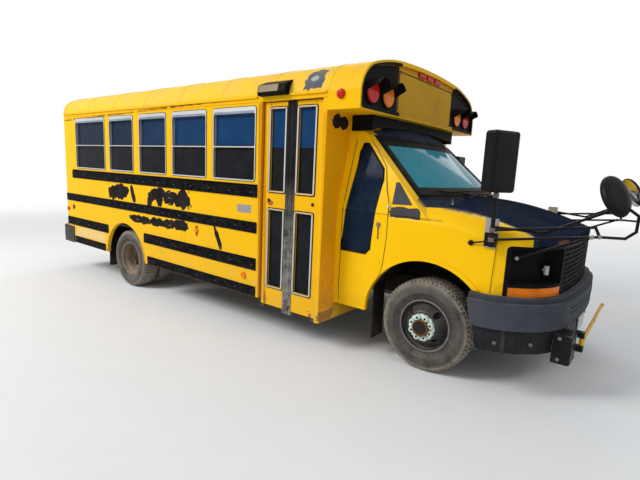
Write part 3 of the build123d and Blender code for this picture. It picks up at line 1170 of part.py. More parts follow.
def rim(y, way):
    """Steel rim whose disc is offset towards way, 1 or -1 along Y."""
    b = RIM_WIDTH / 2
    outline = [
        (-b - 7, FLANGE_RADIUS), (-b, FLANGE_RADIUS), (-b, BEAD_RADIUS), (-b + 24, BEAD_RADIUS - 2),
        (-b + 34, 186), (b - 60, 186), (b - 26, BEAD_RADIUS - 2), (b, BEAD_RADIUS), (b, FLANGE_RADIUS),
        (b + 7, FLANGE_RADIUS), (b + 7, BEAD_RADIUS - 6), (b - 24, BEAD_RADIUS - 9), (b - 58, 178),
        (-b + 32, 178), (-b + 22, BEAD_RADIUS - 9), (-b - 7, BEAD_RADIUS - 6),
    ]
    barrel = revolved([(-way * across, radius) for across, radius in outline], y)
    d = DISC_OFFSET
    disc = [
        (way * 38, 183.0), (way * 52, 183.0), (way * 66, 168.0), (way * (d - 6), 128.0), (way * d, 118.0),
        (way * d, 62.0), (way * (d - DISC_PLATE), 62.0), (way * (d - DISC_PLATE), 114.0), (way * (d - 16), 120.0),
        (way * 52, 162.0),
    ]
    plate = revolved(disc, y)
    for index in range(4):
        angle = math.radians(45 + 90 * index)
        centre = (146 * math.cos(angle), 146 * math.sin(angle))
        hole = Pos(0, y, 0) * rod((centre[0], way * 20, centre[1]), (centre[0], way * (d + 20), centre[1]), 26)
        plate -= hole
    return barrel + plate


def hub(y0, y1, radius, bore, ring_y, way):
    """Hub with its stud ring and lobed nut cover."""
    part = rod((0, y0, 0), (0, y1, 0), radius + 2)
    part += rod((0, ring_y, 0), (0, ring_y + way * 10, 0), 100) - rod((0, ring_y - way, 0), (0, ring_y + way * 11, 0), 64)
    for index in range(STUD_COUNT):
        angle = 2 * math.pi * (index + 0.5) / STUD_COUNT
        x, z = STUD_CIRCLE / 2 * math.cos(angle), STUD_CIRCLE / 2 * math.sin(angle)
        part += rod((x, ring_y, z), (x, ring_y + way * 28, z), 21)
    return part - rod((0, y0 - way, 0), (0, y0 + way * abs(y1 - y0) * 0.9, 0), bore)


SPINDLE_RADIUS = 22.0
REAR_SPINDLE = 35.0
for side, word in ((1, "left"), (-1, "right")):
    front = Pos(0, 0, WHEEL_Z)
    level(f"front_tyre_{word}", front * tyre(side * FRONT_WHEEL_Y))
    face = side * (FRONT_WHEEL_Y + DISC_OFFSET)
    front_rim = rim(side * FRONT_WHEEL_Y, side)
    front_rim += hub(side * 818, face + side * 38, 64, SPINDLE_RADIUS + RUN_FIT, face, side)
    front_rim += revolved([(side * 820, 50), (side * 820, 150), (side * 860, 150), (side * 900, 50)], 0)
    front_rim -= rod((0, side * 810, 0), (0, side * 975, 0), SPINDLE_RADIUS + RUN_FIT)
    level(f"front_rim_{word}", front * front_rim)
    upright = rod((0, side * KINGPIN_Y, WHEEL_Z - 90), (0, side * KINGPIN_Y, WHEEL_Z + 90), 28)
    upright += rod((0, side * KINGPIN_Y, WHEEL_Z - 135), (0, side * KINGPIN_Y, WHEEL_Z + 135), 14)
    upright += disc_y(0, WHEEL_Z, SPINDLE_RADIUS, side * KINGPIN_Y, side * 970)
    upright += disc_y(0, WHEEL_Z, 60, side * 792, side * 813)
    upright += block(-150, 0, side * 745, side * 785, WHEEL_Z - 60, WHEEL_Z - 36)
    level(f"knuckle_{word}", upright)
    rear = Pos(-WHEELBASE, 0, WHEEL_Z)
    level(f"rear_tyres_{word}", rear * tyre(side * REAR_OUTER_Y), rear * tyre(side * REAR_INNER_Y))
    meet = side * (REAR_INNER_Y + DISC_OFFSET)
    rear_rims = rim(side * REAR_OUTER_Y, -side) + rim(side * REAR_INNER_Y, side)
    rear_rims += rod((0, side * 700, 0), (0, side * 1010, 0), 66)
    rear_rims += revolved([(side * 702, 50), (side * 702, 150), (side * 790, 150), (side * 830, 50)], 0)
    ring_y = meet + side * DISC_PLATE
    for index in range(STUD_COUNT):
        angle = 2 * math.pi * (index + 0.5) / STUD_COUNT
        x, z = STUD_CIRCLE / 2 * math.cos(angle), STUD_CIRCLE / 2 * math.sin(angle)
        rear_rims += rod((x, ring_y - side, z), (x, ring_y + side * 28, z), 17)
    rear_rims -= rod((0, side * 690, 0), (0, side * 965, 0), REAR_SPINDLE + RUN_FIT)
    level(f"rear_rims_{word}", rear * rear_rims)

# Front suspension: cross member, arms and dampers, with eyes for the knuckle pins
DROP = 3.2
suspension = block(-110, 110, -530, 530, 250, FRAME_BOTTOM_Z - DROP)
for side in (-1, 1):
    y0, y1 = sorted((side * (RAIL_OUTER_Y + SEAT_GAP), side * 530))
    suspension += block(-90, 90, y0, y1, 400, 500)
    for z in (WHEEL_Z - BALL_OFFSET_Z, WHEEL_Z + BALL_OFFSET_Z):
        plate = [(-100, side * 500), (-26, side * KINGPIN_Y), (26, side * KINGPIN_Y), (100, side * 500)]
        suspension += along_z(plate, z - 12, z + 12)
        suspension += rod((0, side * KINGPIN_Y, z - 14), (0, side * KINGPIN_Y, z + 14), 27)
    suspension += rod((0, side * 600, WHEEL_Z - BALL_OFFSET_Z), (0, side * 600, WHEEL_Z + BALL_OFFSET_Z), 30)
    suspension -= rod((0, side * KINGPIN_Y, 150), (0, side * KINGPIN_Y, 600), 14 + RUN_FIT)
level("front_suspension", suspension)

# Rake the body, centre the whole on its box and write each node
placed = {}
for name, solids in RAKED.items():
    turned = [Pos(0, 0, WHEEL_Z) * (Rot(0, BODY_RAKE, 0) * (Pos(0, 0, -WHEEL_Z) * solid)) for solid in solids]
    placed[name] = Compound(turned)
for name, solids in LEVEL.items():
    placed[name] = Compound(solids)
boxes = [shape.bounding_box() for shape in placed.values()]
low_x = min(box.min.X for box in boxes)
high_x = max(box.max.X for box in boxes)
origin_x = (low_x + high_x) / 2
print("origin_x", origin_x, "length", high_x - low_x)
print("half width", max(box.max.Y for box in boxes), min(box.min.Y for box in boxes), min(box.min.Z for box in boxes))
for name, shape in placed.items():
    export_step(Pos(-origin_x, 0, 0) * shape, f"parts/{name}.step")
print(len(placed), "nodes")
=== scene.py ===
import json
import logging
import math
from collections.abc import Callable, Iterable, Mapping, Sequence
from dataclasses import dataclass, field
from enum import Enum
from functools import cache

import bpy
from mathutils import Matrix, Vector


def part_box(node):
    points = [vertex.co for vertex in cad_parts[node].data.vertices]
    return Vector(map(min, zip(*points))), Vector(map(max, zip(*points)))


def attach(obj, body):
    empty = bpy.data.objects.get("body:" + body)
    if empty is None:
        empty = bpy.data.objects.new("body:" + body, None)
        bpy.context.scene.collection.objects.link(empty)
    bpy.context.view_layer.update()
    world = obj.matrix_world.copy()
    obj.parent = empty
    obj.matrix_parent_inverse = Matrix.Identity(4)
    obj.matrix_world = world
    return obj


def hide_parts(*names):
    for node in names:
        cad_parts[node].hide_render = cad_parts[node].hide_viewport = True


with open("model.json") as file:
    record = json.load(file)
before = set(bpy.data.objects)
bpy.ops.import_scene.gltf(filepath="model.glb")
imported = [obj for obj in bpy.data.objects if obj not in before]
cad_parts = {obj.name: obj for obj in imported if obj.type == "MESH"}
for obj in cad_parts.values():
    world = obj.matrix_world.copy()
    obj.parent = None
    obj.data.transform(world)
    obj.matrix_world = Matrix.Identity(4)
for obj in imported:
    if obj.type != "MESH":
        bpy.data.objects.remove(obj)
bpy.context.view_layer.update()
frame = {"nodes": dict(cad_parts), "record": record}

LOG = logging.getLogger("bus")
Colour = tuple[float, float, float]
Point = tuple[float, float, float]
Pair = tuple[float, float]
Socket = bpy.types.NodeSocket
Tree = bpy.types.NodeTree
Material = bpy.types.Material
SIDES = (-1, 1)

# Sizes shared with the solid model, in millimetres
HALF_WIDTH = 1207.0
EAVE_Z = 2150.0
FLOOR_Z = 711.0
REAR_X = -5752.0
WINDOW_SILL_Z = 1395.0
WINDOW_TOP_Z = 2073.0
WINDOW_RAIL_Z = 1710.0
WHEELBASE = 4039.0
REAR_AXLE_X = -4037.9
ARCH_RADIUS = 470.0
WHEEL_Z = 367.0
BEAD_RADIUS = 203.3
FRONT_WHEEL_Y = 856.0
REAR_OUTER_Y = 1048.0
REAR_INNER_Y = 798.0
DISC_OFFSET = 125.0
SIGN_HALF = 589
BENCH_X = -5560
BENCH_PITCH = 708
BENCH_ROWS = 6
BENCH_INNER_Y = 215
BENCH_OUTER_Y = 1150
SIDE_WINDOWS = ((-5331, -4492), (-4368, -3789), (-3652, -3093), (-2974, -2376), (-2268, -1658))
LEFT_WINDOWS = SIDE_WINDOWS + ((-1540, -960),)


class Body(Enum):
    """Moving bodies that carry pieces of this script."""

    CHASSIS = "chassis"
    HOOD = "hood"
    DRIVER_DOOR = "driver_door"
    REAR_DOOR = "rear_door"
    ENTRANCE_FRONT = "entrance_front"
    ENTRANCE_REAR = "entrance_rear"
    STOP_ARM = "stop_arm"
    CROSSING_ARM = "crossing_arm"
    WHEEL_FRONT_LEFT = "front_wheel_left"
    WHEEL_FRONT_RIGHT = "front_wheel_right"
    WHEELS_REAR_LEFT = "rear_wheels_left"
    WHEELS_REAR_RIGHT = "rear_wheels_right"


class Surface(Enum):
    """Bump patterns a finish can carry, by their shader groups."""

    GRAIN = "Grain"
    LEATHER = "Leather"
    RIBBED = "Ribs"
    BRUSHED = "Brushed"


@dataclass(frozen=True)
class Space:
    """Turns millimetres of the bus into metres of the shared frame.

    Args:
        origin_x: Station of the frame's origin, forward of the front axle.
        rake_deg: Nose-down angle of the sprung body.
    """

    origin_x: float
    rake_deg: float = 1.35

    def body(self, x: float, y: float, z: float) -> Vector:
        """Places a point of the raked body.

        Args:
            x: Forward of the front axle.
            y: To the left.
            z: Up from the ground at the front axle.

        Returns:
            The point in the shared frame.
        """
        turn = math.radians(self.rake_deg)
        dz = z - WHEEL_Z
        px = math.cos(turn) * x + math.sin(turn) * dz
        pz = WHEEL_Z - math.sin(turn) * x + math.cos(turn) * dz
        return Vector(((px - self.origin_x) / 1000, y / 1000, pz / 1000))

    def level(self, x: float, y: float, z: float) -> Vector:
        """Places a point that stands level on the ground."""
        return Vector(((x - self.origin_x) / 1000, y / 1000, z / 1000))


def find_space() -> Space:
    """Reads the frame's origin from the place of the front wheel."""
    low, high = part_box("front_rim_left")
    return Space(origin_x=-500.0 * (low.x + high.x))


SPACE = find_space()
Place = Callable[[float, float, float], Vector]


# Shader graphs
class Graph:
    """Adds and links shader nodes in one tree."""

    def __init__(self, tree: Tree) -> None:
        self.tree = tree

    def node(self, kind: str, inputs: Mapping | None = None, **settings: object) -> bpy.types.Node:
        """Adds a node.

        Args:
            kind: Node type name without its common prefix.
            inputs: Values or output sockets by the place or name of the input.
            **settings: Attributes to set on the node.

        Returns:
            The new node.
        """
        made = self.tree.nodes.new("ShaderNode" + kind)
        for name, value in settings.items():
            setattr(made, name, value)
        for place, value in (inputs or {}).items():
            self.feed(made.inputs[place], value)
        return made

    def feed(self, socket: Socket, value: object) -> None:
        """Links a socket, or sets its constant.

        Args:
            socket: Input to feed.
            value: Output socket or constant.
        """
        if isinstance(value, Socket):
            self.tree.links.new(value, socket)
        elif isinstance(value, tuple) and len(value) == 3 and socket.type == "RGBA":
            socket.default_value = (*value, 1.0)
        else:
            socket.default_value = value

    def math(self, operation: str, *values: object, clamp: bool = False) -> Socket:
        """Adds a math node; its result can be kept within 0 and 1."""
        return self.node("Math", dict(enumerate(values)), operation=operation, use_clamp=clamp).outputs[0]

    def times(self, first: object, second: object, clamp: bool = False) -> Socket:
        """Multiplies two values."""
        return self.math("MULTIPLY", first, second, clamp=clamp)

    def vector(self, operation: str, *values: object, output: str = "Vector") -> Socket:
        """Adds a vector math node and gives one of its outputs."""
        return self.node("VectorMath", dict(enumerate(values)), operation=operation).outputs[output]

    def split(self, vector: object) -> Sequence[Socket]:
        """Splits a vector into its X, Y and Z."""
        return self.node("SeparateXYZ", {0: vector}).outputs

    def mix(self, factor: object, first: object, second: object) -> Socket:
        """Mixes two colours; the factor is the share of the second."""
        colours = {0: factor, 6: first, 7: second}
        return self.node("Mix", colours, data_type="RGBA", blend_type="MIX", clamp_factor=True).outputs[2]

    def span(self, value: object, low: float, high: float) -> Socket:
        """Maps the range from low to high smoothly onto 0 to 1."""
        ends = {0: value, 1: low, 2: high}
        return self.node("MapRange", ends, interpolation_type="SMOOTHSTEP", clamp=True).outputs[0]

    def noise(self, vector: object, scale: object, detail: float = 4.0, rough: float = 0.6) -> Socket:
        """Adds a noise texture of a frequency, with octaves of a roughness."""
        inputs = {"Vector": vector, "Scale": scale, "Detail": detail, "Roughness": rough}
        return self.node("TexNoise", inputs).outputs[0]

    def coordinates(self, kind: str = "Object") -> Socket:
        """Gives texture coordinates."""
        return self.node("TexCoord").outputs[kind]

    def use(self, effect: str, **inputs: object) -> bpy.types.Node:
        """Adds a shared group; in the names of its inputs underscores stand for spaces."""
        named = {name.replace("_", " "): value for name, value in inputs.items()}
        return self.node("Group", named, node_tree=effect_tree(effect))

    def bump(self, height: Socket, strength: float, distance: float) -> Socket:
        """Turns a height into a normal, over a distance in metres."""
        return self.node("Bump", {"Strength": strength, "Distance": distance, "Height": height}).outputs[0]


Given = dict[str, Socket]


def dust(graph: Graph, given: Given) -> Socket:
    """Pale dust that settles on faces that look up and in patches elsewhere.

    Args:
        graph: Graph of the group.
        given: Its inputs.

    Returns:
        The mask.
    """
    up = graph.span(graph.split(graph.node("NewGeometry").outputs["Normal"])[2], -0.2, 1.0)
    cloud = graph.span(graph.noise(graph.coordinates(), given["Scale"], 6.0, 0.65), 0.36, 0.72)
    both = graph.times(cloud, graph.math("MULTIPLY_ADD", up, 0.9, 0.1))
    return graph.times(both, given["Amount"], clamp=True)


def splash(graph: Graph, given: Given) -> Socket:
    """Road dirt that thins out with height above the ground.

    Args:
        graph: Graph of the group.
        given: Its inputs.

    Returns:
        The mask.
    """
    where = graph.coordinates()
    share = graph.math("DIVIDE", graph.split(where)[2], given["Height"])
    low = graph.math("SUBTRACT", 1.0, share, clamp=True)
    cloud = graph.span(graph.noise(where, 9.0, 7.0, 0.7), 0.3, 0.7)
    speck = graph.span(graph.noise(where, 85.0, 3.0, 0.6), 0.52, 0.68)
    spread = graph.math("ADD", cloud, graph.times(speck, 0.6))
    return graph.times(graph.times(low, spread), given["Amount"], clamp=True)


def runs(graph: Graph, given: Given) -> Socket:
    """Rust and water stains that run down in thin lines.

    Args:
        graph: Graph of the group.
        given: Its inputs.

    Returns:
        The mask.
    """
    where = graph.coordinates()
    lines = graph.noise(graph.vector("MULTIPLY", where, (22.0, 22.0, 1.1)), 1.0, 3.0, 0.55)
    zones = graph.span(graph.noise(where, 2.3, 3.0, 0.5), 0.45, 0.68)
    both = graph.times(graph.span(lines, 0.62, 0.74), zones)
    return graph.times(both, given["Amount"], clamp=True)


def wear(graph: Graph, given: Given) -> Socket:
    """Bare or rusty material that shows on edges and in chips.

    Args:
        graph: Graph of the group.
        given: Its inputs.

    Returns:
        The mask.
    """
    bevel = graph.node("Bevel", {"Radius": 0.006}, samples=4)
    normal = graph.node("NewGeometry").outputs["Normal"]
    lean = graph.vector("DOT_PRODUCT", bevel.outputs[0], normal, output="Value")
    edge = graph.span(graph.math("SUBTRACT", 1.0, lean), 0.02, 0.16)
    where = graph.coordinates()
    rough = graph.span(graph.noise(where, 26.0, 6.0, 0.7), 0.42, 0.6)
    chips = graph.span(graph.noise(where, 60.0, 5.0, 0.75), 0.67, 0.7)
    fields = graph.span(graph.noise(where, 3.1, 2.0, 0.5), 0.5, 0.62)
    both = graph.math("ADD", graph.times(edge, rough), graph.times(chips, fields))
    return graph.times(both, given["Amount"], clamp=True)


def patch(graph: Graph, given: Given) -> Socket:
    """A ragged patch inside a box.

    Args:
        graph: Graph of the group.
        given: Its inputs.

    Returns:
        The mask.
    """
    where = graph.coordinates()
    raw = graph.split(graph.vector("SUBTRACT", where, given["Centre"]))
    forward = graph.math("MULTIPLY_ADD", raw[2], given["Slant"], raw[0])
    leaning = graph.node("CombineXYZ", {0: forward, 1: raw[1], 2: raw[2]})
    scaled = graph.vector("MULTIPLY", leaning.outputs[0], given["Inverse Size"])
    axes = graph.split(graph.vector("ABSOLUTE", scaled))
    square = graph.math("MAXIMUM", graph.math("MAXIMUM", axes[0], axes[1]), axes[2])
    rounder = graph.math("SUBTRACT", graph.vector("LENGTH", scaled, output="Value"), square)
    far = graph.math("MULTIPLY_ADD", rounder, given["Round"], square)
    drips = graph.noise(graph.vector("MULTIPLY", where, (13.0, 13.0, 8.0)), 1.0, 4.0, 0.55)
    ragged = graph.times(graph.math("SUBTRACT", drips, 0.5), given["Ragged"])
    return graph.math("SUBTRACT", 1.0, graph.span(graph.math("ADD", far, ragged), 0.94, 1.02))


def grain(graph: Graph, given: Given) -> Socket:
    """Fine and broad unevenness as one height.

    Args:
        graph: Graph of the group.
        given: Its inputs.

    Returns:
        The height.
    """
    where = graph.coordinates()
    broad = graph.times(graph.noise(where, 2.6, 2.0, 0.5), given["Broad"])
    return graph.math("ADD", graph.noise(where, given["Scale"], 3.0, 0.6), broad)


def leather(graph: Graph, given: Given) -> Socket:
    """Cell pattern of leathercloth or cast skin as a height.

    Args:
        graph: Graph of the group.
        given: Its inputs.

    Returns:
        The height.
    """
    where = graph.coordinates()
    inputs = {"Vector": where, "Scale": given["Scale"]}
    cells = graph.node("TexVoronoi", inputs, feature="DISTANCE_TO_EDGE")
    creases = graph.times(graph.noise(where, 12.0, 4.0, 0.6), given["Broad"])
    return graph.math("ADD", graph.span(cells.outputs["Distance"], 0.0, 0.12), creases)


def ribs(graph: Graph, given: Given) -> Socket:
    """Fine ribs along the vehicle as a height.

    Args:
        graph: Graph of the group.
        given: Its inputs.

    Returns:
        The height.
    """
    where = graph.coordinates()
    wave = graph.node("TexWave", {"Vector": where, "Scale": given["Scale"]}, bands_direction="Y")
    lumps = graph.times(graph.noise(where, 40.0, 3.0, 0.6), given["Broad"])
    return graph.math("ADD", wave.outputs["Fac"], lumps)


def brushed(graph: Graph, given: Given) -> Socket:
    """Drawn metal: long fine lines as a height.

    Args:
        graph: Graph of the group.
        given: Its inputs.

    Returns:
        The height.
    """
    where = graph.coordinates()
    lines = graph.noise(graph.vector("MULTIPLY", where, (0.04, 1.0, 0.12)), given["Scale"], 2.0, 0.5)
    lumps = graph.times(graph.noise(where, 7.0, 2.0, 0.5), given["Broad"])
    return graph.math("ADD", lines, lumps)


@dataclass(frozen=True)
class Effect:
    """Shader group that lays a tint on a colour, or gives a height.

    Args:
        fill: Makes the tint's mask, or the height.
        inputs: Socket types by input name.
        tint: Input with the colour that is laid on; none for a height.
    """

    fill: Callable[[Graph, Given], Socket]
    inputs: dict[str, str]
    tint: str = ""

    def tree(self, name: str) -> Tree:
        """Builds the group.

        Args:
            name: Its name.

        Returns:
            The group.
        """
        made = bpy.data.node_groups.new(name, "ShaderNodeTree")
        colours = {"Color": "Color", self.tint: "Color"} if self.tint else {}
        inputs = colours | self.inputs
        outputs = {"Color": "Color", "Mask": "Float"} if self.tint else {"Height": "Float"}
        for way, sockets in (("INPUT", inputs), ("OUTPUT", outputs)):
            for socket, kind in sockets.items():
                made.interface.new_socket(name=socket, in_out=way, socket_type="NodeSocket" + kind)
        graph = Graph(made)
        entry = made.nodes.new("NodeGroupInput")
        leave = made.nodes.new("NodeGroupOutput")
        given = {socket: entry.outputs[socket] for socket in inputs}
        result = self.fill(graph, given)
        if self.tint:
            graph.feed(leave.inputs["Color"], graph.mix(result, given["Color"], given[self.tint]))
        graph.feed(leave.inputs["Mask" if self.tint else "Height"], result)
        return made


HEIGHT_INPUTS = {"Scale": "Float", "Broad": "Float"}
MARK_INPUTS = {"Centre": "Vector", "Inverse Size": "Vector"}
MARK_INPUTS |= {name: "Float" for name in ("Slant", "Ragged", "Round")}


EFFECTS = {
    "Dust": Effect(dust, {"Amount": "Float", "Scale": "Float"}, "Dust Color"),
    "Splash": Effect(splash, {"Amount": "Float", "Height": "Float"}, "Dirt Color"),
    "Runs": Effect(runs, {"Amount": "Float"}, "Run Color"),
    "Wear": Effect(wear, {"Amount": "Float"}, "Bare Color"),
    "Mark": Effect(patch, MARK_INPUTS, "Mark Color"),
    "Grain": Effect(grain, HEIGHT_INPUTS),
    "Leather": Effect(leather, HEIGHT_INPUTS),
    "Ribs": Effect(ribs, HEIGHT_INPUTS),
    "Brushed": Effect(brushed, HEIGHT_INPUTS),
}


@cache
def effect_tree(name: str) -> Tree:
    """Gives a shared group, made on first use."""
    return EFFECTS[name].tree(name)


@dataclass(frozen=True)
class Mark:
    """Ragged patch on a finish.

    Args:
        centre: Middle in the shared frame, in metres.
        half: Half size along each axis, in metres.
        colour: Its colour.
        slant: Lean of the patch forward for each metre up.
        ragged: Unevenness of its edge.
        round: 0 for a box, 1 for an ellipse.
    """

    centre: Point
    half: Point
    colour: Colour
    slant: float = 0.0
    ragged: float = 0.9
    round: float = 0.0


def body_mark(x: tuple, y: tuple, z: tuple, colour: Colour, *look: float) -> Mark:
    """Makes a mark from ranges in body millimetres.

    Args:
        x: Rear and front limit.
        y: Right and left limit.
        z: Lower and upper limit.
        colour: Its colour.
        *look: Slant, raggedness and roundness, as far as they differ from the defaults.

    Returns:
        The mark.
    """
    centre = SPACE.body((x[0] + x[1]) / 2, (y[0] + y[1]) / 2, (z[0] + z[1]) / 2)
    half = tuple(abs(high - low) / 2000 for low, high in (x, y, z))
    return Mark(tuple(centre), half, colour, *look)


def link_height(
    graph: Graph, kind: Surface, scale: float, broad: float, strength: float, distance: float
) -> Socket:
    """Makes a bump normal from a surface pattern."""
    pattern = graph.use(kind.value, Scale=scale, Broad=broad)
    return graph.bump(pattern.outputs["Height"], strength, distance)


def open_material(name: str) -> tuple[Material, Graph, dict[str, Socket]]:
    """Starts a material.

    Args:
        name: Its name.

    Returns:
        The material, its graph and the inputs of its shader.
    """
    made = bpy.data.materials.new(name)
    made.use_nodes = True
    return made, Graph(made.node_tree), made.node_tree.nodes["Principled BSDF"].inputs


@dataclass(frozen=True)
class Look:
    """Material by its name.

    Args:
        name: Material name.
    """

    name: str

    def inputs(self, graph: Graph) -> dict[str, object]:
        """Adds the nodes of the material.

        Args:
            graph: Its graph.

        Returns:
            The values of the shader's inputs.
        """
        raise NotImplementedError

    def material(self) -> Material:
        """Builds the material.

        Returns:
            The material.
        """
        made, graph, shader = open_material(self.name)
        for name, value in self.inputs(graph).items():
            graph.feed(shader[name], value)
        return made


@dataclass(frozen=True)
class Finish(Look):
    """Weathered opaque finish.

    Args:
        colour: Clean colour.
        second: Colour it fades towards.
        rough: Roughness.
        metal: Metallic share.
        coat: Clear coat weight.
        dust: Amount of settled dust.
        dust_colour: Colour of the dust and the road dirt.
        splash: Amount of road dirt low down.
        splash_height: Height in metres where the dirt ends.
        runs: Amount of stains that run down.
        run_colour: Colour of those stains.
        wear: Amount of edge wear and chips.
        bare: Colour under the finish.
        surface: Bump pattern.
        scale: Bump frequency.
        bump: Bump strength.
        broad: Share of broad unevenness in the bump.
        marks: Patches.
        specular: Strength of the plain reflection.
    """

    colour: Colour
    second: Colour
    rough: float = 0.45
    metal: float = 0.0
    coat: float = 0.0
    dust: float = 0.35
    dust_colour: Colour = (0.36, 0.3, 0.22)
    splash: float = 0.0
    splash_height: float = 0.9
    runs: float = 0.0
    run_colour: Colour = (0.2, 0.07, 0.02)
    wear: float = 0.15
    bare: Colour = (0.14, 0.06, 0.03)
    surface: Surface = Surface.GRAIN
    scale: float = 180.0
    bump: float = 0.12
    broad: float = 0.6
    marks: tuple[Mark, ...] = ()
    specular: float = 0.05

    def inputs(self, graph: Graph) -> dict[str, object]:
        """Adds the paint and what lies on it.

        Args:
            graph: Graph of the material.

        Returns:
            The values of the shader's inputs.
        """
        fade = graph.span(graph.noise(graph.coordinates(), 1.7, 5.0, 0.6), 0.3, 0.75)
        colour = graph.mix(fade, self.colour, self.second)
        roughness = graph.math("MULTIPLY_ADD", fade, 0.12, self.rough - 0.04)
        for effect, rougher, inputs in self.layers():
            layer = graph.use(effect, Color=colour, **inputs)
            colour = layer.outputs["Color"]
            if rougher:
                mask = layer.outputs["Mask"]
                roughness = graph.math("MULTIPLY_ADD", mask, rougher, roughness, clamp=effect != "Wear")
        return {
            "Base Color": colour, "Roughness": roughness, "Metallic": self.metal,
            "Specular IOR Level": self.specular, "Coat Weight": self.coat, "Coat Roughness": 0.12,
            "Normal": link_height(graph, self.surface, self.scale, self.broad, self.bump, 0.002),
        }

    def layers(self) -> list[tuple[str, float, dict[str, object]]]:
        """Lists what lies on the paint, from the lowest up.

        Returns:
            The effect, how much rougher it makes the surface, and its inputs.
        """
        found: list[tuple[str, float, dict[str, object]]] = []
        if self.wear > 0:
            found.append(("Wear", 0.3, {"Bare_Color": self.bare, "Amount": self.wear}))
        if self.runs > 0:
            found.append(("Runs", 0.0, {"Run_Color": self.run_colour, "Amount": self.runs}))
        for mark in self.marks:
            inputs = {"Mark_Color": mark.colour, "Centre": mark.centre, "Slant": mark.slant}
            inputs |= {"Inverse_Size": tuple(1 / value for value in mark.half)}
            inputs |= {"Ragged": mark.ragged, "Round": mark.round}
            found.append(("Mark", 0.35, inputs))
        if self.splash > 0:
            inputs = {"Dirt_Color": self.dust_colour, "Amount": self.splash, "Height": self.splash_height}
            found.append(("Splash", 0.4, inputs))
        if self.dust > 0:
            found.append(("Dust", 0.35, {"Dust_Color": self.dust_colour, "Amount": self.dust, "Scale": 5.0}))
        return found


@dataclass(frozen=True)
class Glazing(Look):
    """Tinted pane with dust and dried water marks.

    Args:
        tint: Colour of the pane.
        other: Colour of the lower sashes, or of panes that look sideways.
        clear: Share of light let straight through where it is clean.
        sashes: Whether the other colour is split off at the rail between two sashes.
    """

    tint: Colour
    other: Colour
    clear: float = 0.4
    sashes: bool = False

    def inputs(self, graph: Graph) -> dict[str, object]:
        """Adds the nodes of the pane.

        Args:
            graph: Graph of the material.

        Returns:
            The values of the shader's inputs.
        """
        where = graph.coordinates()
        if self.sashes:
            rail = SPACE.body(0, 0, WINDOW_RAIL_Z)
            upright = SPACE.body(0, 0, 1000) - SPACE.body(0, 0, 0)
            height = graph.vector("DOT_PRODUCT", where, upright, output="Value")
            share = graph.span(graph.math("SUBTRACT", rail.dot(upright), height), -0.002, 0.002)
            solid: object = 1.0 - self.clear
        else:
            sideways = graph.split(graph.node("NewGeometry").outputs["Normal"])[1]
            share = graph.span(graph.math("ABSOLUTE", sideways), 0.6, 0.85)
            solid = graph.math("MULTIPLY_ADD", share, 0.9 * self.clear, 1.0 - self.clear)
        tint = graph.mix(share, self.tint, self.other)
        if self.sashes:
            front, back = SPACE.body(-2000, 0, 0).x, SPACE.body(-4400, 0, 0).x
            rear = graph.span(graph.split(where)[0], front, back)
            tint = graph.mix(graph.times(rear, 0.75), tint, self.other)
        film = graph.use("Dust", Color=tint, Dust_Color=(0.42, 0.4, 0.36), Amount=0.1, Scale=7.0)
        drops = graph.span(graph.noise(where, 34.0, 5.0, 0.6), 0.6, 0.78)
        wiped = graph.noise(graph.vector("MULTIPLY", where, (1.5, 1.5, 0.5)), 1.6, 3.0, 0.5)
        veil = graph.times(drops, graph.times(graph.span(wiped, 0.45, 0.75), 0.05))
        misted = graph.math("ADD", veil, film.outputs["Mask"])
        return {
            "Base Color": graph.mix(veil, film.outputs["Color"], (0.4, 0.4, 0.37)),
            "Alpha": graph.math("ADD", misted, solid, clamp=True),
            "Roughness": graph.math("MULTIPLY_ADD", veil, 0.6, 0.06),
            "Specular IOR Level": 0.03,
            "Normal": link_height(graph, Surface.GRAIN, 14.0, 1.5, 0.03, 0.004),
        }


@dataclass(frozen=True)
class Lens(Look):
    """Moulded lamp lens with ribs under its face.

    Args:
        colour: Lens colour.
        deep: Colour between the ribs.
        glow: Faint lift of the colour.
    """

    colour: Colour
    deep: Colour
    glow: float = 0.15

    def inputs(self, graph: Graph) -> dict[str, object]:
        """Adds the nodes of the lens.

        Args:
            graph: Graph of the material.

        Returns:
            The values of the shader's inputs.
        """
        where = graph.coordinates()
        checks = graph.node("TexChecker", {"Vector": where, "Scale": 110.0})
        grid = graph.times(checks.outputs["Fac"], 0.45)
        base = graph.mix(grid, self.colour, self.deep)
        base = graph.mix(graph.span(graph.noise(where, 9.0, 4.0, 0.6), 0.45, 0.8), base, self.deep)
        film = graph.use("Dust", Color=base, Dust_Color=(0.4, 0.35, 0.28), Amount=0.1, Scale=8.0)
        return {
            "Base Color": film.outputs["Color"],
            "Roughness": graph.math("MULTIPLY_ADD", film.outputs["Mask"], 0.5, 0.16),
            "Emission Color": film.outputs["Color"],
            "Emission Strength": self.glow,
            "Specular IOR Level": 0.15,
            "Normal": graph.bump(checks.outputs["Fac"], 0.35, 0.001),
        }


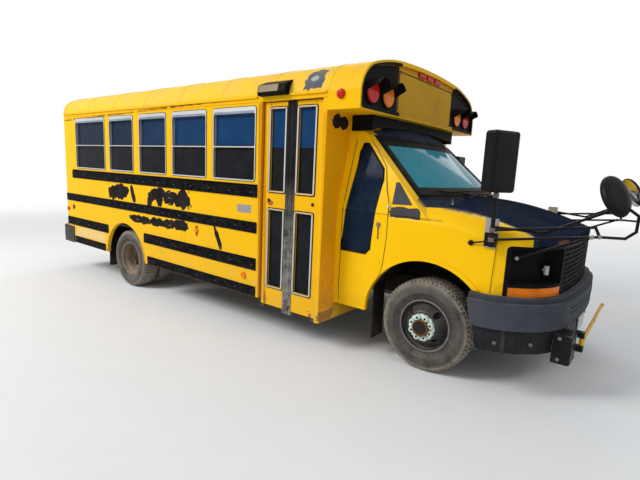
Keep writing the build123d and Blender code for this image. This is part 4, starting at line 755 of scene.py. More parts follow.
@dataclass(frozen=True)
class TyreRubber(Look):
    """Dusty tyre whose dirt, and the painted shade in its tread grooves, follow the radius kept in its map.
    """

    name: str = "tyre_rubber"

    def inputs(self, graph: Graph) -> dict[str, object]:
        """Adds the nodes of the rubber.

        Args:
            graph: Graph of the material.

        Returns:
            The values of the shader's inputs.
        """
        where = graph.coordinates()
        raised, radius, _ = graph.split(graph.coordinates("UV"))
        cloud = graph.noise(where, 14.0, 6.0, 0.7)
        colour = graph.mix(graph.span(cloud, 0.3, 0.7), (0.028, 0.026, 0.024), (0.075, 0.066, 0.056))
        shoulder = graph.times(graph.span(radius, 0.62, 0.9), graph.span(cloud, 0.2, 0.6))
        low = graph.math("SUBTRACT", 1.0, raised)
        # Painted shade: the tread grooves between the blocks are darkened to near black.
        groove = graph.times(graph.span(radius, 0.83, 0.9), low)
        scuffs = graph.span(graph.noise(where, 5.0, 3.0, 0.5), 0.4, 0.7)
        band = graph.times(graph.span(radius, 0.3, 0.42), scuffs)
        for mask, share, tint in (
            (shoulder, 0.85, (0.36, 0.31, 0.24)),
            (groove, 0.85, (0.008, 0.008, 0.008)),
            (band, 0.45, (0.16, 0.14, 0.11)),
        ):
            colour = graph.mix(graph.times(mask, share), colour, tint)
        film = graph.use("Dust", Color=colour, Dust_Color=(0.3, 0.26, 0.2), Amount=0.5, Scale=9.0)
        return {
            "Base Color": film.outputs["Color"],
            "Roughness": 0.86,
            "Normal": link_height(graph, Surface.GRAIN, 150.0, 0.3, 0.35, 0.002),
        }


@dataclass(frozen=True)
class MirrorFace(Look):
    """Silvered glass with a film of dust."""

    name: str = "mirror_face"

    def inputs(self, graph: Graph) -> dict[str, object]:
        """Adds the nodes of the silvered glass.

        Args:
            graph: Graph of the material.

        Returns:
            The values of the shader's inputs.
        """
        silver = (0.72, 0.76, 0.78)
        film = graph.use("Dust", Color=silver, Dust_Color=(0.4, 0.36, 0.3), Amount=0.35, Scale=16.0)
        return {
            "Base Color": film.outputs["Color"],
            "Roughness": graph.math("MULTIPLY_ADD", film.outputs["Mask"], 0.6, 0.04),
            "Metallic": 1.0,
            "Normal": link_height(graph, Surface.GRAIN, 20.0, 1.0, 0.02, 0.002),
        }


PAINT_OUT = (0.011, 0.01, 0.011)
YELLOW = (0.91, 0.5, 0.001)
YELLOW_FADED = (0.87, 0.475, 0.008)
BARE_METAL = (0.22, 0.12, 0.07)
# Near black for surfaces under the body and round the front wheels.
UNDERSIDE_DARK = (0.012, 0.011, 0.01)
SHADE = (0.62, 0.25, 0.002)
# Black hood paint; its blue tint is painted sky reflection.
HOOD = (0.009, 0.018, 0.04)
RUST = (0.2, 0.075, 0.025)
RUST_BLOOM = (0.4, 0.13, 0.025)
# Ranges across the right wall's skin and along the front wall's skin
RIGHT_SKIN = (-1250, -1150)
FRONT_SKIN = (-870, -830)

SIDE_MARKS = (
    *(
        body_mark((x0, x1), (-1350, -1050), (z0, z1), PAINT_OUT, slant, 1.5, 1.0)
        for x0, x1, z0, z1, slant in (
            (-4430, -4180, 1020, 1205, 0.0), (-4300, -3925, 1040, 1240, 0.0),
            (-3868, -3775, 1015, 1245, 0.3), (-3490, -3330, 1010, 1230, -0.35),
            (-3400, -3110, 1110, 1240, 0.0), (-3300, -3180, 1015, 1200, 0.0),
            (-3180, -2860, 1055, 1225, 0.0), (-2990, -2640, 1030, 1245, 0.0),
            (-3910, -3620, 780, 885, 0.0), (-3740, -3380, 775, 875, 0.0), (-3480, -3130, 778, 882, 0.0),
            (-3240, -2900, 782, 895, 0.0), (-3000, -2660, 788, 908, 0.0), (-2222, -2148, 672, 915, 0.4),
        )
    ),
    body_mark((-1911, -1695), RIGHT_SKIN, (1092, 1172), (0.3, 0.3, 0.28), 0.0, 0.5),
    body_mark((-2560, -2520), RIGHT_SKIN, (770, 880), RUST, 0.0, 1.2),
    body_mark((-5528, -5430), RIGHT_SKIN, (785, 855), (0.3, 0.03, 0.02), 0.0, 1.6, 0.6),
    body_mark((-5450, -4560), RIGHT_SKIN, (400, 548), (0.8, 0.56, 0.2), 0.0, 1.5),
    # Painted shade: the whole front wall is tinted a deeper orange, as if it stood in shade.
    body_mark(FRONT_SKIN, (-1215, -870), (236, 2010), (0.8, 0.36, 0.001), 0.0, 0.1),
    body_mark(FRONT_SKIN, (-1137, -1010), (1868, 1992), PAINT_OUT, 0.0, 1.2, 1.0),
    body_mark(FRONT_SKIN, (-1030, -897), (1874, 1990), PAINT_OUT, 0.0, 1.2, 1.0),
    body_mark(FRONT_SKIN, (-1215, -1000), (236, 330), (0.42, 0.2, 0.04), 0.0, 1.6),
    body_mark((-1612, -1534), RIGHT_SKIN, (236, 2108), SHADE, 0.0, 0.3),
    # Painted shadow: a thin dark band just under the drip rails along both walls.
    body_mark((-5720, -905), (-1250, 1250), (2106, 2127), (0.22, 0.09, 0.006), 0.0, 0.15),
    # Near-black darkening over every surface below the body floor.
    body_mark((-5740, -880), (-1160, 1160), (0, 725), UNDERSIDE_DARK, 0.0, 0.1),
)
ROOF_MARKS = (
    body_mark((-1130, -905), (-1250, -1040), (2165, 2345), (0.1, 0.105, 0.125), 0.0, 1.1, 0.5),
    body_mark((-1060, -980), (-1250, -1040), (2240, 2290), (0.4, 0.4, 0.42), 0.0, 1.3, 1.0),
)
CAB_MARKS = (
    body_mark((-350, -78), (-1030, -960), (1190, 1276), (0.06, 0.052, 0.058), 0.0, 0.9, 0.3),
    body_mark((-442, -426), (-1030, -960), (1000, 1098), (0.3, 0.09, 0.02), 0.0, 1.0),
    # Black paint of the hood colour, with its painted blue sky reflection, on the cab's roof front, cowl and
    # fender tops.
    body_mark((-700, -380), (-770, 770), (1818, 1990), HOOD, 0.0, 0.2),
    body_mark((-140, 80), (-760, 760), (1292, 1420), HOOD, 0.0, 0.2),
    *(
        body_mark((x0, x1), (-half, half), (low, 1420), HOOD, 0.0, 0.02)
        for x0, x1, half, low in (
            (-150, 60, 955, 1287), (40, 170, 906, 1240), (160, 260, 896, 1235), (250, 330, 882, 1225),
            (320, 420, 870, 1190), (410, 700, 862, 1105), (690, 860, 1010, 1080),
        )
    ),
    # Near-black darkening over the cab's surfaces round the front wheels.
    Mark((SPACE.body(0, 0, 0).x, 0.0, 0.42), (0.64, 0.977, 0.46), UNDERSIDE_DARK, 0.0, 0.1),
)
HOOD_MARKS = (body_mark((800, 900), (-720, -530), (1060, 1130), (0.16, 0.06, 0.035), 0.0, 1.0, 0.5),)
LEAF_MARKS = (
    body_mark((-1560, -1534), RIGHT_SKIN, (236, 2108), SHADE, 0.0, 0.3),
    *(
        body_mark(x, RIGHT_SKIN, z, RUST_BLOOM, 0.0, 2.2, 1.0)
        for x, z in (((-1510, -1440), (1190, 1245)), ((-1538, -1505), (240, 380)), ((-990, -945), (210, 300)))
    ),
)

FINISHES = {finish.name: finish for finish in (
    Finish(
        "body_yellow", YELLOW, YELLOW_FADED, 0.4, dust=0.22, splash=0.3, splash_height=0.9, runs=0.3,
        wear=0.3, bare=BARE_METAL, bump=0.05, broad=1.4, marks=SIDE_MARKS,
    ),
    Finish(
        "roof_yellow", (0.9, 0.53, 0.01), (0.84, 0.52, 0.07), 0.42, dust=0.3, runs=0.2, wear=0.25,
        bare=(0.3, 0.3, 0.3), bump=0.05, broad=1.4, marks=ROOF_MARKS,
    ),
    Finish(
        "cab_yellow", (0.98, 0.57, 0.0), (0.95, 0.53, 0.001), 0.32, coat=0.03, dust=0.08, splash=0.12,
        splash_height=0.7, runs=0.12, wear=0.25, bare=BARE_METAL, bump=0.04, broad=1.2, marks=CAB_MARKS,
        specular=0.08,
    ),
    Finish(
        "trim_yellow", YELLOW, YELLOW_FADED, 0.42, dust=0.2, splash=0.3, runs=0.3, wear=0.5, bare=BARE_METAL,
    ),
    Finish(
        "leaf_yellow", (0.9, 0.48, 0.001), (0.84, 0.44, 0.01), 0.4, dust=0.15, splash=0.2, splash_height=0.8,
        runs=0.35, wear=0.5, bare=(0.25, 0.1, 0.05), bump=0.05, broad=1.2, marks=LEAF_MARKS,
    ),
    # Amber sign paint, darker than the body yellow partly as painted shade of the recessed sign.
    Finish(
        "sign_yellow", (0.6, 0.32, 0.01), (0.5, 0.27, 0.02), 0.5, dust=0.2, runs=0.3, wear=0.2,
        bare=(0.3, 0.3, 0.3),
    ),
    # Black hood paint; the blue tint in both colours is painted sky reflection.
    Finish(
        "hood_black", (0.009, 0.018, 0.04), (0.015, 0.02, 0.03), 0.34, dust=0.03, runs=0.1, wear=0.3,
        bare=(0.4, 0.2, 0.02), bump=0.08, broad=1.2, marks=HOOD_MARKS, specular=0.0,
    ),
    Finish(
        "grille_black", (0.006, 0.006, 0.006), (0.02, 0.019, 0.018), 0.55, dust=0.15, wear=0.3,
        bare=(0.2, 0.18, 0.15), bump=0.2,
    ),
    Finish(
        "lamp_black", (0.004, 0.004, 0.005), (0.008, 0.008, 0.009), 0.5, dust=0.06, wear=0.15,
        bare=(0.12, 0.11, 0.1), bump=0.15, specular=0.03,
    ),
    Finish(
        "lens_tan", (0.3, 0.235, 0.14), (0.22, 0.165, 0.1), 0.3, dust=0.2, wear=0.1, surface=Surface.RIBBED,
        scale=40.0, bump=0.3,
    ),
    Finish(
        "liner_black", (0.004, 0.004, 0.004), (0.008, 0.008, 0.007), 0.85, dust=0.08, splash=0.12,
        splash_height=1.2, wear=0.0, bump=0.4, specular=0.03,
    ),
    Finish(
        "rail_black", (0.003, 0.003, 0.004), (0.006, 0.006, 0.007), 0.42, dust=0.0, splash=0.02,
        splash_height=0.8, runs=0.03, run_colour=(0.2, 0.2, 0.2), wear=0.3, bare=(0.3, 0.3, 0.32), bump=0.1,
        specular=0.01,
    ),
    Finish(
        "chassis_black", (0.008, 0.008, 0.008), (0.02, 0.015, 0.011), 0.7, dust=0.25, splash=0.2,
        splash_height=0.8, wear=0.8, bare=(0.12, 0.05, 0.025), scale=90.0, bump=0.35,
    ),
    Finish(
        "engine_grey", (0.07, 0.07, 0.068), (0.04, 0.036, 0.03), 0.6, metal=0.3, dust=0.5, wear=0.4,
        scale=70.0, bump=0.5,
    ),
    Finish(
        "radiator_metal", (0.12, 0.12, 0.12), (0.07, 0.065, 0.06), 0.5, metal=0.7, dust=0.4, wear=0.2,
        surface=Surface.RIBBED, scale=60.0, bump=0.5,
    ),
    Finish(
        "spring_steel", (0.05, 0.03, 0.022), (0.1, 0.045, 0.025), 0.8, metal=0.2, dust=0.4, wear=0.6,
        bump=0.4,
    ),
    Finish(
        "exhaust_steel", (0.16, 0.11, 0.08), (0.22, 0.17, 0.14), 0.6, metal=0.6, dust=0.4, wear=0.7,
        bare=RUST, bump=0.3,
    ),
    Finish(
        "tank_black", (0.015, 0.015, 0.015), (0.04, 0.036, 0.033), 0.6, dust=0.4, splash=0.5, wear=0.4,
        bump=0.2,
    ),
    Finish(
        "bumper_steel", (0.01, 0.01, 0.011), (0.022, 0.022, 0.024), 0.4, metal=0.1, dust=0.1,
        dust_colour=(0.2, 0.2, 0.2), splash=0.1, splash_height=0.7, runs=0.15, run_colour=(0.3, 0.3, 0.3),
        wear=1.4, bare=(0.35, 0.35, 0.36), scale=55.0, bump=0.3, broad=2.2,
    ),
    Finish(
        "bumper_plastic", (0.042, 0.046, 0.056), (0.06, 0.065, 0.077), 0.6, dust=0.4,
        dust_colour=(0.22, 0.22, 0.23), splash=0.15, wear=0.35, bare=(0.16, 0.155, 0.15),
        surface=Surface.LEATHER, scale=420.0, bump=0.25,
    ),
    Finish(
        "rear_bumper_black", (0.007, 0.007, 0.007), (0.02, 0.019, 0.018), 0.4, coat=0.1, dust=0.3,
        splash=0.4, wear=0.8, bare=(0.2, 0.1, 0.05), bump=0.15,
    ),
    Finish(
        "floor_rubber", (0.014, 0.014, 0.015), (0.035, 0.032, 0.03), 0.75, dust=0.5, splash=0.4, wear=0.1,
        surface=Surface.RIBBED, scale=30.0, bump=0.4,
    ),
    Finish(
        "window_aluminium", (0.6, 0.61, 0.6), (0.48, 0.48, 0.47), 0.38, metal=0.55, dust=0.25, runs=0.3,
        run_colour=(0.2, 0.19, 0.17), wear=0.2, bare=(0.7, 0.7, 0.68), surface=Surface.BRUSHED, scale=260.0,
        bump=0.12,
    ),
    Finish(
        "trim_silver", (0.66, 0.67, 0.66), (0.54, 0.54, 0.52), 0.35, metal=0.4, dust=0.25, runs=0.2,
        wear=0.3, bare=(0.2, 0.2, 0.2), surface=Surface.BRUSHED, scale=260.0, bump=0.12,
    ),
    Finish(
        "rubber_black", (0.006, 0.006, 0.007), (0.016, 0.015, 0.015), 0.72, dust=0.12, splash=0.1, wear=0.0,
        bump=0.25,
    ),
    Finish(
        "seal_black", (0.007, 0.007, 0.008), (0.018, 0.017, 0.018), 0.6, dust=0.08,
        dust_colour=(0.25, 0.235, 0.21), splash=2.2, splash_height=1.5, runs=0.4,
        run_colour=(0.12, 0.115, 0.11), wear=0.3, bare=(0.2, 0.19, 0.18), bump=0.3,
    ),
    Finish(
        "header_silver", (0.27, 0.32, 0.42), (0.16, 0.19, 0.25), 0.4, dust=0.2, runs=0.4,
        run_colour=(0.12, 0.12, 0.12), wear=0.3, bare=(0.45, 0.45, 0.45), bump=0.1, specular=0.1,
    ),
    Finish(
        "seat_vinyl", (0.014, 0.022, 0.016), (0.026, 0.036, 0.027), 0.45, dust=0.2, wear=0.2,
        bare=(0.08, 0.09, 0.08), surface=Surface.LEATHER, scale=160.0, bump=0.35, broad=3.0,
    ),
    Finish("seat_steel", (0.015, 0.015, 0.015), (0.03, 0.028, 0.027), 0.5, dust=0.3, wear=0.4, bump=0.15),
    Finish(
        "dash_plastic", (0.03, 0.03, 0.032), (0.05, 0.048, 0.045), 0.6, dust=0.35, wear=0.1,
        surface=Surface.LEATHER, scale=300.0, bump=0.2,
    ),
    Finish(
        "mirror_black", (0.004, 0.005, 0.007), (0.011, 0.01, 0.011), 0.38, dust=0.08, runs=0.2, wear=0.9,
        bare=(0.17, 0.1, 0.075), bump=0.12, specular=0.08,
    ),
    Finish(
        "flap_rubber", (0.006, 0.006, 0.006), (0.014, 0.013, 0.012), 0.8, dust=0.1, splash=0.15,
        splash_height=0.6, wear=0.2, bare=(0.1, 0.09, 0.08), bump=0.4,
    ),
    Finish(
        "stop_red", (0.45, 0.012, 0.012), (0.4, 0.05, 0.04), 0.4, coat=0.1, dust=0.3, runs=0.3, wear=0.5,
        bare=(0.3, 0.3, 0.3),
    ),
    Finish(
        "arm_yellow", (0.85, 0.45, 0.01), (0.75, 0.4, 0.03), 0.4, dust=0.3, wear=0.9, bare=(0.12, 0.1, 0.09),
    ),
    Finish(
        "rim_black", (0.012, 0.013, 0.016), (0.035, 0.03, 0.028), 0.4, dust=0.3,
        dust_colour=(0.26, 0.22, 0.19), splash=0.25, splash_height=0.6, runs=0.3, wear=0.6,
        bare=(0.3, 0.27, 0.25), bump=0.3, specular=0.3,
    ),
    Finish(
        "rim_tan", (0.16, 0.11, 0.075), (0.07, 0.04, 0.025), 0.8, dust=0.8, dust_colour=(0.38, 0.3, 0.21),
        splash=0.8, wear=0.8, bare=(0.2, 0.08, 0.03), bump=0.4,
    ),
    # Pale paint of the rim rings that stand in for the highlight on the rim's edge.
    Finish("rim_highlight", (0.5, 0.46, 0.44), (0.25, 0.21, 0.2), 0.5, dust=0.2, splash=0.2, wear=0.5, bump=0.2),
    Finish(
        "hub_mint", (0.66, 0.84, 0.72), (0.55, 0.68, 0.58), 0.5, dust=0.2, runs=0.2, wear=0.6,
        bare=(0.3, 0.13, 0.05),
    ),
    Finish(
        "hub_rust", (0.1, 0.035, 0.017), (0.24, 0.09, 0.035), 0.9, dust=0.2, wear=0.3, scale=120.0, bump=0.5,
    ),
    Finish(
        "bolt_steel", (0.25, 0.24, 0.23), (0.14, 0.09, 0.065), 0.45, metal=0.7, dust=0.3, wear=0.7, bump=0.2,
    ),
    Finish("pad_grey", (0.42, 0.42, 0.44), (0.3, 0.3, 0.31), 0.7, dust=0.3, runs=0.4, wear=0.5, bump=0.3),
    Finish("headliner", (0.4, 0.4, 0.37), (0.33, 0.33, 0.3), 0.7, dust=0.2, runs=0.2, wear=0.1, bump=0.1),
    Finish(
        "white_paint", (0.7, 0.7, 0.68), (0.58, 0.57, 0.54), 0.45, dust=0.3, runs=0.3, wear=0.4,
        bare=(0.25, 0.12, 0.06),
    ),
    Lens("lens_red", (0.55, 0.012, 0.008), (0.22, 0.003, 0.003), 0.1),
    Lens("lens_amber", (0.85, 0.21, 0.001), (0.45, 0.08, 0.001), 0.08),
    Lens("lens_clear", (0.5, 0.52, 0.52), (0.3, 0.32, 0.32), 0.03),
    Glazing("glass_tinted", (0.007, 0.045, 0.13), (0.011, 0.012, 0.015), 0.08, True),
    Glazing("glass_clear", (0.03, 0.36, 0.46), (0.006, 0.016, 0.036), 0.35),
    TyreRubber(),
    MirrorFace(),
)}


@cache
def finish_material(name: str) -> Material:
    """Gives the material of a finish, made on first use."""
    return FINISHES[name].material()


# Mesh building
BOX_FACES = ((0, 1, 3, 2), (4, 6, 7, 5), (0, 4, 5, 1), (2, 3, 7, 6), (0, 2, 6, 4), (1, 5, 7, 3))


@dataclass
class Shape:
    """Mesh under construction, in metres of the shared frame.

    Args:
        place: Turns millimetres into the shared frame.
    """

    place: Place = SPACE.body
    verts: list[Vector] = field(default_factory=list)
    faces: list[tuple[int, ...]] = field(default_factory=list)

    def add(self, points: Iterable[Vector], faces: Iterable[Sequence[int]]) -> None:
        """Adds faces over new points.

        Args:
            points: New vertices.
            faces: Faces that index them.
        """
        base = len(self.verts)
        self.verts.extend(points)
        self.faces.extend(tuple(base + i for i in face) for face in faces)

    def box(self, x0: float, x1: float, y0: float, y1: float, z0: float, z1: float) -> None:
        """Adds a box between limits in millimetres."""
        corners = [self.place(x, y, z) for x in (x0, x1) for y in sorted((y0, y1)) for z in (z0, z1)]
        self.add(corners, BOX_FACES)

    def hexahedron(self, lower: Sequence[Point], upper: Sequence[Point]) -> None:
        """Adds a solid between two four-cornered outlines.

        Args:
            lower: Four points, counter-clockwise seen from the upper outline.
            upper: The four points over them.
        """
        points = [self.place(*p) for p in (*lower, *upper)]
        sides = [(i, (i + 1) % 4, (i + 1) % 4 + 4, i + 4) for i in range(4)]
        self.add(points, [(3, 2, 1, 0), (4, 5, 6, 7), *sides])

    def pipe(
        self, path: Sequence[Point], radius: float, sides: int = 8, closed: bool = False, flat: float = 1.0
    ) -> None:
        """Adds a tube along a path.

        Args:
            path: Points in millimetres.
            radius: Tube radius in millimetres.
            sides: Sides of the tube.
            closed: Whether the path is a loop.
            flat: Height of the section against its width.
        """
        points = [self.place(*p) for p in path]
        count = len(points)
        rings: list[Vector] = []
        for i, point in enumerate(points):
            before = points[i - 1] if closed or i else point
            after = points[(i + 1) % count] if closed or i < count - 1 else point
            along = (after - before).normalized()
            side = along.cross(Vector((0, 0, 1)))
            if side.length < 0.2:
                side = along.cross(Vector((0, 1, 0)))
            side.normalize()
            top = side.cross(along).normalized()
            for k in range(sides):
                turn = 2 * math.pi * (k + 0.5) / sides
                out = side * math.cos(turn) + top * (math.sin(turn) * flat)
                rings.append(point + out * (radius / 1000))
        faces: list[tuple[int, ...]] = []
        for i in range(count if closed else count - 1):
            a, b = i * sides, (i + 1) % count * sides
            faces += [(a + k, b + k, b + (k + 1) % sides, a + (k + 1) % sides) for k in range(sides)]
        if not closed:
            faces += [tuple(range(sides)), tuple((count - 1) * sides + k for k in reversed(range(sides)))]
        self.add(rings, faces)

    def lathe(self, profile: Sequence[Pair], centre: Point, axis: Point, segments: int = 32) -> None:
        """Revolves a profile.

        Args:
            profile: (distance along the axis, radius) pairs in millimetres; radius 0 closes an end.
            centre: Foot of the axis in millimetres.
            axis: Direction of the axis in the space of the shape.
            segments: Divisions around.
        """
        foot = self.place(*centre)
        tip = self.place(*(c + a * 1000 for c, a in zip(centre, axis)))
        along = (tip - foot).normalized()
        side = along.orthogonal().normalized()
        top = along.cross(side)
        points = []
        for distance, radius in profile:
            for k in range(segments):
                turn = 2 * math.pi * k / segments
                out = side * math.cos(turn) + top * math.sin(turn)
                points.append(foot + along * (distance / 1000) + out * (max(radius, 0.02) / 1000))
        faces: list[tuple[int, ...]] = []
        last = (len(profile) - 1) * segments
        for a in range(0, last, segments):
            b = a + segments
            for k in range(segments):
                n = (k + 1) % segments
                faces.append((a + k, a + n, b + n, b + k))
        faces.append(tuple(reversed(range(segments))))
        faces.append(tuple(last + k for k in range(segments)))
        self.add(points, faces)

    def rivet(self, centre: Point, axis: Point, radius: float = 6.0, height: float = 2.5) -> None:
        """Adds a low domed head."""
        self.lathe(((-0.5, radius), (height * 0.6, radius * 0.8), (height, radius * 0.35)), centre, axis, 7)

    def bolt(self, centre: Point, axis: Point, across: float = 9.0, height: float = 6.0) -> None:
        """Adds a hexagonal head on a washer."""
        self.lathe(((-0.5, across * 1.5), (1.5, across * 1.5)), centre, axis, 14)
        self.lathe(((1.0, across), (height - 1, across), (height, across * 0.8)), centre, axis, 6)

    def strip(self, inner: Sequence[Point], outer: Sequence[Point], lift: Point) -> None:
        """Adds a thin band between two lines of points.

        Args:
            inner: One edge in millimetres.
            outer: The other edge, as many points.
            lift: Offset from the lower to the upper face.
        """
        raised = [[tuple(a + b for a, b in zip(p, lift)) for p in line] for line in (inner, outer)]
        for i in range(len(inner) - 1):
            lower = (inner[i], inner[i + 1], outer[i + 1], outer[i])
            upper = (raised[0][i], raised[0][i + 1], raised[1][i + 1], raised[1][i])
            self.hexahedron(lower, upper)

    def finish(
        self, name: str, finish: str, body: Body = Body.CHASSIS, smooth: float = 35.0, slot: str | None = None
    ) -> bpy.types.Object:
        """Turns the shape into an object that rides on a body.

        Args:
            name: Piece name.
            finish: Finish name.
            body: Body it rides on.
            smooth: Largest angle in degrees that is shaded smooth.
            slot: Record slot, when it has one; not used.

        Returns:
            The object.
        """
        mesh = bpy.data.meshes.new(name)
        mesh.from_pydata([tuple(v) for v in self.verts], [], self.faces)
        mesh.validate()
        mesh.polygons.foreach_set("use_smooth", [True] * len(mesh.polygons))
        mesh.set_sharp_from_angle(angle=math.radians(smooth))
        mesh.materials.append(finish_material(finish))
        piece = bpy.data.objects.new(name, mesh)
        bpy.context.scene.collection.objects.link(piece)
        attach(piece, body.value)
        LOG.info("piece %s: %d faces on %s", name, len(mesh.polygons), body.value)
        return piece


def arc(first: tuple, middle: tuple, last: tuple, count: int) -> list[tuple[float, float]]:
    """Samples a circular arc through three plane points.

    Args:
        first: Start.
        middle: A point on the way.
        last: End.
        count: Number of points.

    Returns:
        The points.
    """
    ax, ay = first
    bx, by = middle
    cx, cy = last
    d = 2 * (ax * (by - cy) + bx * (cy - ay) + cx * (ay - by))
    ux = ((ax**2 + ay**2) * (by - cy) + (bx**2 + by**2) * (cy - ay) + (cx**2 + cy**2) * (ay - by)) / d
    uy = ((ax**2 + ay**2) * (cx - bx) + (bx**2 + by**2) * (ax - cx) + (cx**2 + cy**2) * (bx - ax)) / d
    radius = math.dist((ux, uy), first)
    start = math.atan2(ay - uy, ax - ux)
    end = math.atan2(cy - uy, cx - ux)
    sweep = (end - start + math.pi) % (2 * math.pi) - math.pi
    turns = [start + sweep * i / (count - 1) for i in range(count)]
    return [(ux + radius * math.cos(turn), uy + radius * math.sin(turn)) for turn in turns]


def roof_line(lift: float) -> list[tuple[float, float]]:
    """Samples the roof from the right eave to the left.

    Args:
        lift: Distance outside the skin.

    Returns:
        (Y, Z) points.
    """
    shoulder = (1000.0 + lift * 0.45, 2385.0 + lift * 0.89)
    crown = (560.0 + lift * 0.15, 2468.0 + lift)
    half = arc((HALF_WIDTH + lift, EAVE_Z), (1136.0 + lift * 0.8, 2302.0 + lift * 0.6), shoulder, 12)
    half += arc(shoulder, (795.0 + lift * 0.3, 2437.0 + lift * 0.95), crown, 8)[1:]
    half += arc(crown, (0.0, 2488.0 + lift), (-crown[0], crown[1]), 15)[1:8]
    return [(-y, z) for y, z in half] + [(y, z) for y, z in reversed(half[:-1])]


def rounded(x0: float, x1: float, z0: float, z1: float, radius: float, y: float) -> list[Point]:
    """Samples a rounded rectangle in a side plane.

    Args:
        x0: Rear limit.
        x1: Front limit.
        z0: Lower limit.
        z1: Upper limit.
        radius: Corner radius.
        y: Offset of the plane.

    Returns:
        Its points.
    """
    points: list[Point] = []
    for cx, cz, start in ((x1, z1, 0), (x0, z1, 90), (x0, z0, 180), (x1, z0, 270)):
        mx = cx - radius if cx == x1 else cx + radius
        mz = cz - radius if cz == z1 else cz + radius
        for step in range(5):
            turn = math.radians(start + 22.5 * step)
            points.append((mx + radius * math.cos(turn), y, mz + radius * math.sin(turn)))
    return points


@dataclass
class SideTrim:
    """Trim on both side walls: seams, rivets, gaskets, rails and latches.

    Args:
        pitch: Rivet pitch in millimetres.
    """

    pitch: float = 62.0

    def gaskets(self) -> None:
        """Black rubber round each window and its sashes, headers and latches."""
        rubber, latches, headers = Shape(), Shape(), Shape()
        for side in SIDES:
            for x0, x1 in LEFT_WINDOWS if side > 0 else SIDE_WINDOWS:
                face = side * (HALF_WIDTH + 1)
                loop = rounded(x0 - 3, x1 + 3, WINDOW_SILL_Z - 3, WINDOW_TOP_Z + 3, 29, face)
                rubber.pipe(loop, 3.2, 6, closed=True)
                headers.box(x0 + 17, x1 - 17, side * (HALF_WIDTH - 22), side * (HALF_WIDTH + 3), 2008, 2039)
                for z0, z1 in ((WINDOW_SILL_Z + 20, WINDOW_RAIL_Z - 12), (WINDOW_RAIL_Z + 12, 2007)):
                    inner = rounded(x0 + 16, x1 - 16, z0 - 3, z1 + 3, 11, side * (HALF_WIDTH + 4))
                    rubber.pipe(inner, 4.2, 6, closed=True)
                for share in (0.2, 0.8):
                    x = x0 + (x1 - x0) * share
                    y0, y1 = side * (HALF_WIDTH - 34), side * (HALF_WIDTH - 50)
                    latches.box(x - 22, x + 22, y0, y1, WINDOW_RAIL_Z - 8, WINDOW_RAIL_Z + 8)
        rubber.finish("window_gaskets", "rubber_black")
        headers.finish("window_headers", "header_silver")
        latches.finish("window_latches", "lamp_black")

    def seams(self) -> None:
        """Lap strips between panels with their rows of rivets."""
        strips, heads = Shape(), Shape()
        rails = ((297, 392), (556, 672), (913, 1018), (1249, 1370))
        for side in SIDES:
            face = side * HALF_WIDTH
            out = (0.0, float(side), 0.0)
            for x in (-5411, -4430, -3720, -3033, -2322) + ((-1599,) if side > 0 else ()):
                z = 760.0 if abs(x + 4030) < ARCH_RADIUS else 330.0
                while z < 2120:
                    if not any(low - 12 < z < high + 12 for low, high in rails):
                        for dx in (-14, 14):
                            heads.rivet((x + dx, face + side, z), out, 5.0, 2.2)
                    z += self.pitch
                strips.box(x - 30, x + 30, face, face + side * 1.6, 1347, 2132)
            for z in (1382, 2100):
                x = -5660.0
                while x < (-900.0 if side > 0 else -1640.0):
                    heads.rivet((x, face, z), out, 4.5, 2.0)
                    x += self.pitch * 1.6
        strips.finish("side_lap_strips", "trim_yellow")
        heads.finish("side_rivets", "trim_yellow")

    def drip_rails(self) -> None:
        """Rain gutter along each eave and the short one over the entrance."""
        gutters = Shape()
        for side in SIDES:
            face = side * (HALF_WIDTH - 1)
            for x0, x1 in ((-5690, -862),) if side > 0 else ((-5690, -1640), (-1240, -862)):
                gutters.box(x0, x1, face, side * (HALF_WIDTH + 13), 2138, 2143)
                gutters.box(x0, x1, side * (HALF_WIDTH + 9), side * (HALF_WIDTH + 14), 2138, 2156)
                gutters.box(x0 + 30, x1, face, side * (HALF_WIDTH + 6), 2104, 2110)
        gutters.finish("drip_rails", "trim_yellow")

    def arch_lips(self) -> None:
        """Rolled edge round each rear wheel arch."""
        lips = Shape()
        turns = [math.pi * step / 32 for step in range(33)]
        arch = [(REAR_AXLE_X + ARCH_RADIUS * math.cos(t), 275.0 + ARCH_RADIUS * math.sin(t)) for t in turns]
        for side in SIDES:
            lips.pipe([(x, side * (HALF_WIDTH + 1), z) for x, z in arch if z > 297], 8, 8)
        lips.finish("rear_arch_lips", "trim_yellow")

    def rail_bolts(self) -> None:
        """Bolts and upper flanges of the rub rails."""
        flanges = Shape()
        edges = (
            (-5469, -1623, 1343, 1369), (-5682, -4460, 650, 671),
            (-3576, -1623, 650, 671), (-5682, -1623, 1007, 1017),
        )
        for side in SIDES:
            for x0, x1, z0, z1 in edges:
                flanges.box(x0, x1, side * (HALF_WIDTH - 1), side * (HALF_WIDTH + 6), z0, z1)
        flanges.finish("rub_rail_flanges", "rail_black")
        bolts = Shape()
        rows = (
            (1296, -5469, -1623), (960, -5682, -1623), (603, -5682, -4460), (603, -3576, -1623),
            (347, -5459, -4551), (347, -3502, -1623),
        )
        for side in SIDES:
            for z, x0, x1 in rows:
                x = x0 + 45.0
                while x < x1:
                    bolts.rivet((x, side * (HALF_WIDTH + 8), z), (0.0, float(side), 0.0), 6.5, 4.0)
                    x += 310.0
        bolts.finish("rub_rail_bolts", "bolt_steel")

    def build(self) -> None:
        """Builds all side trim."""
        for step in (self.gaskets, self.seams, self.drip_rails, self.arch_lips, self.rail_bolts):
            step()


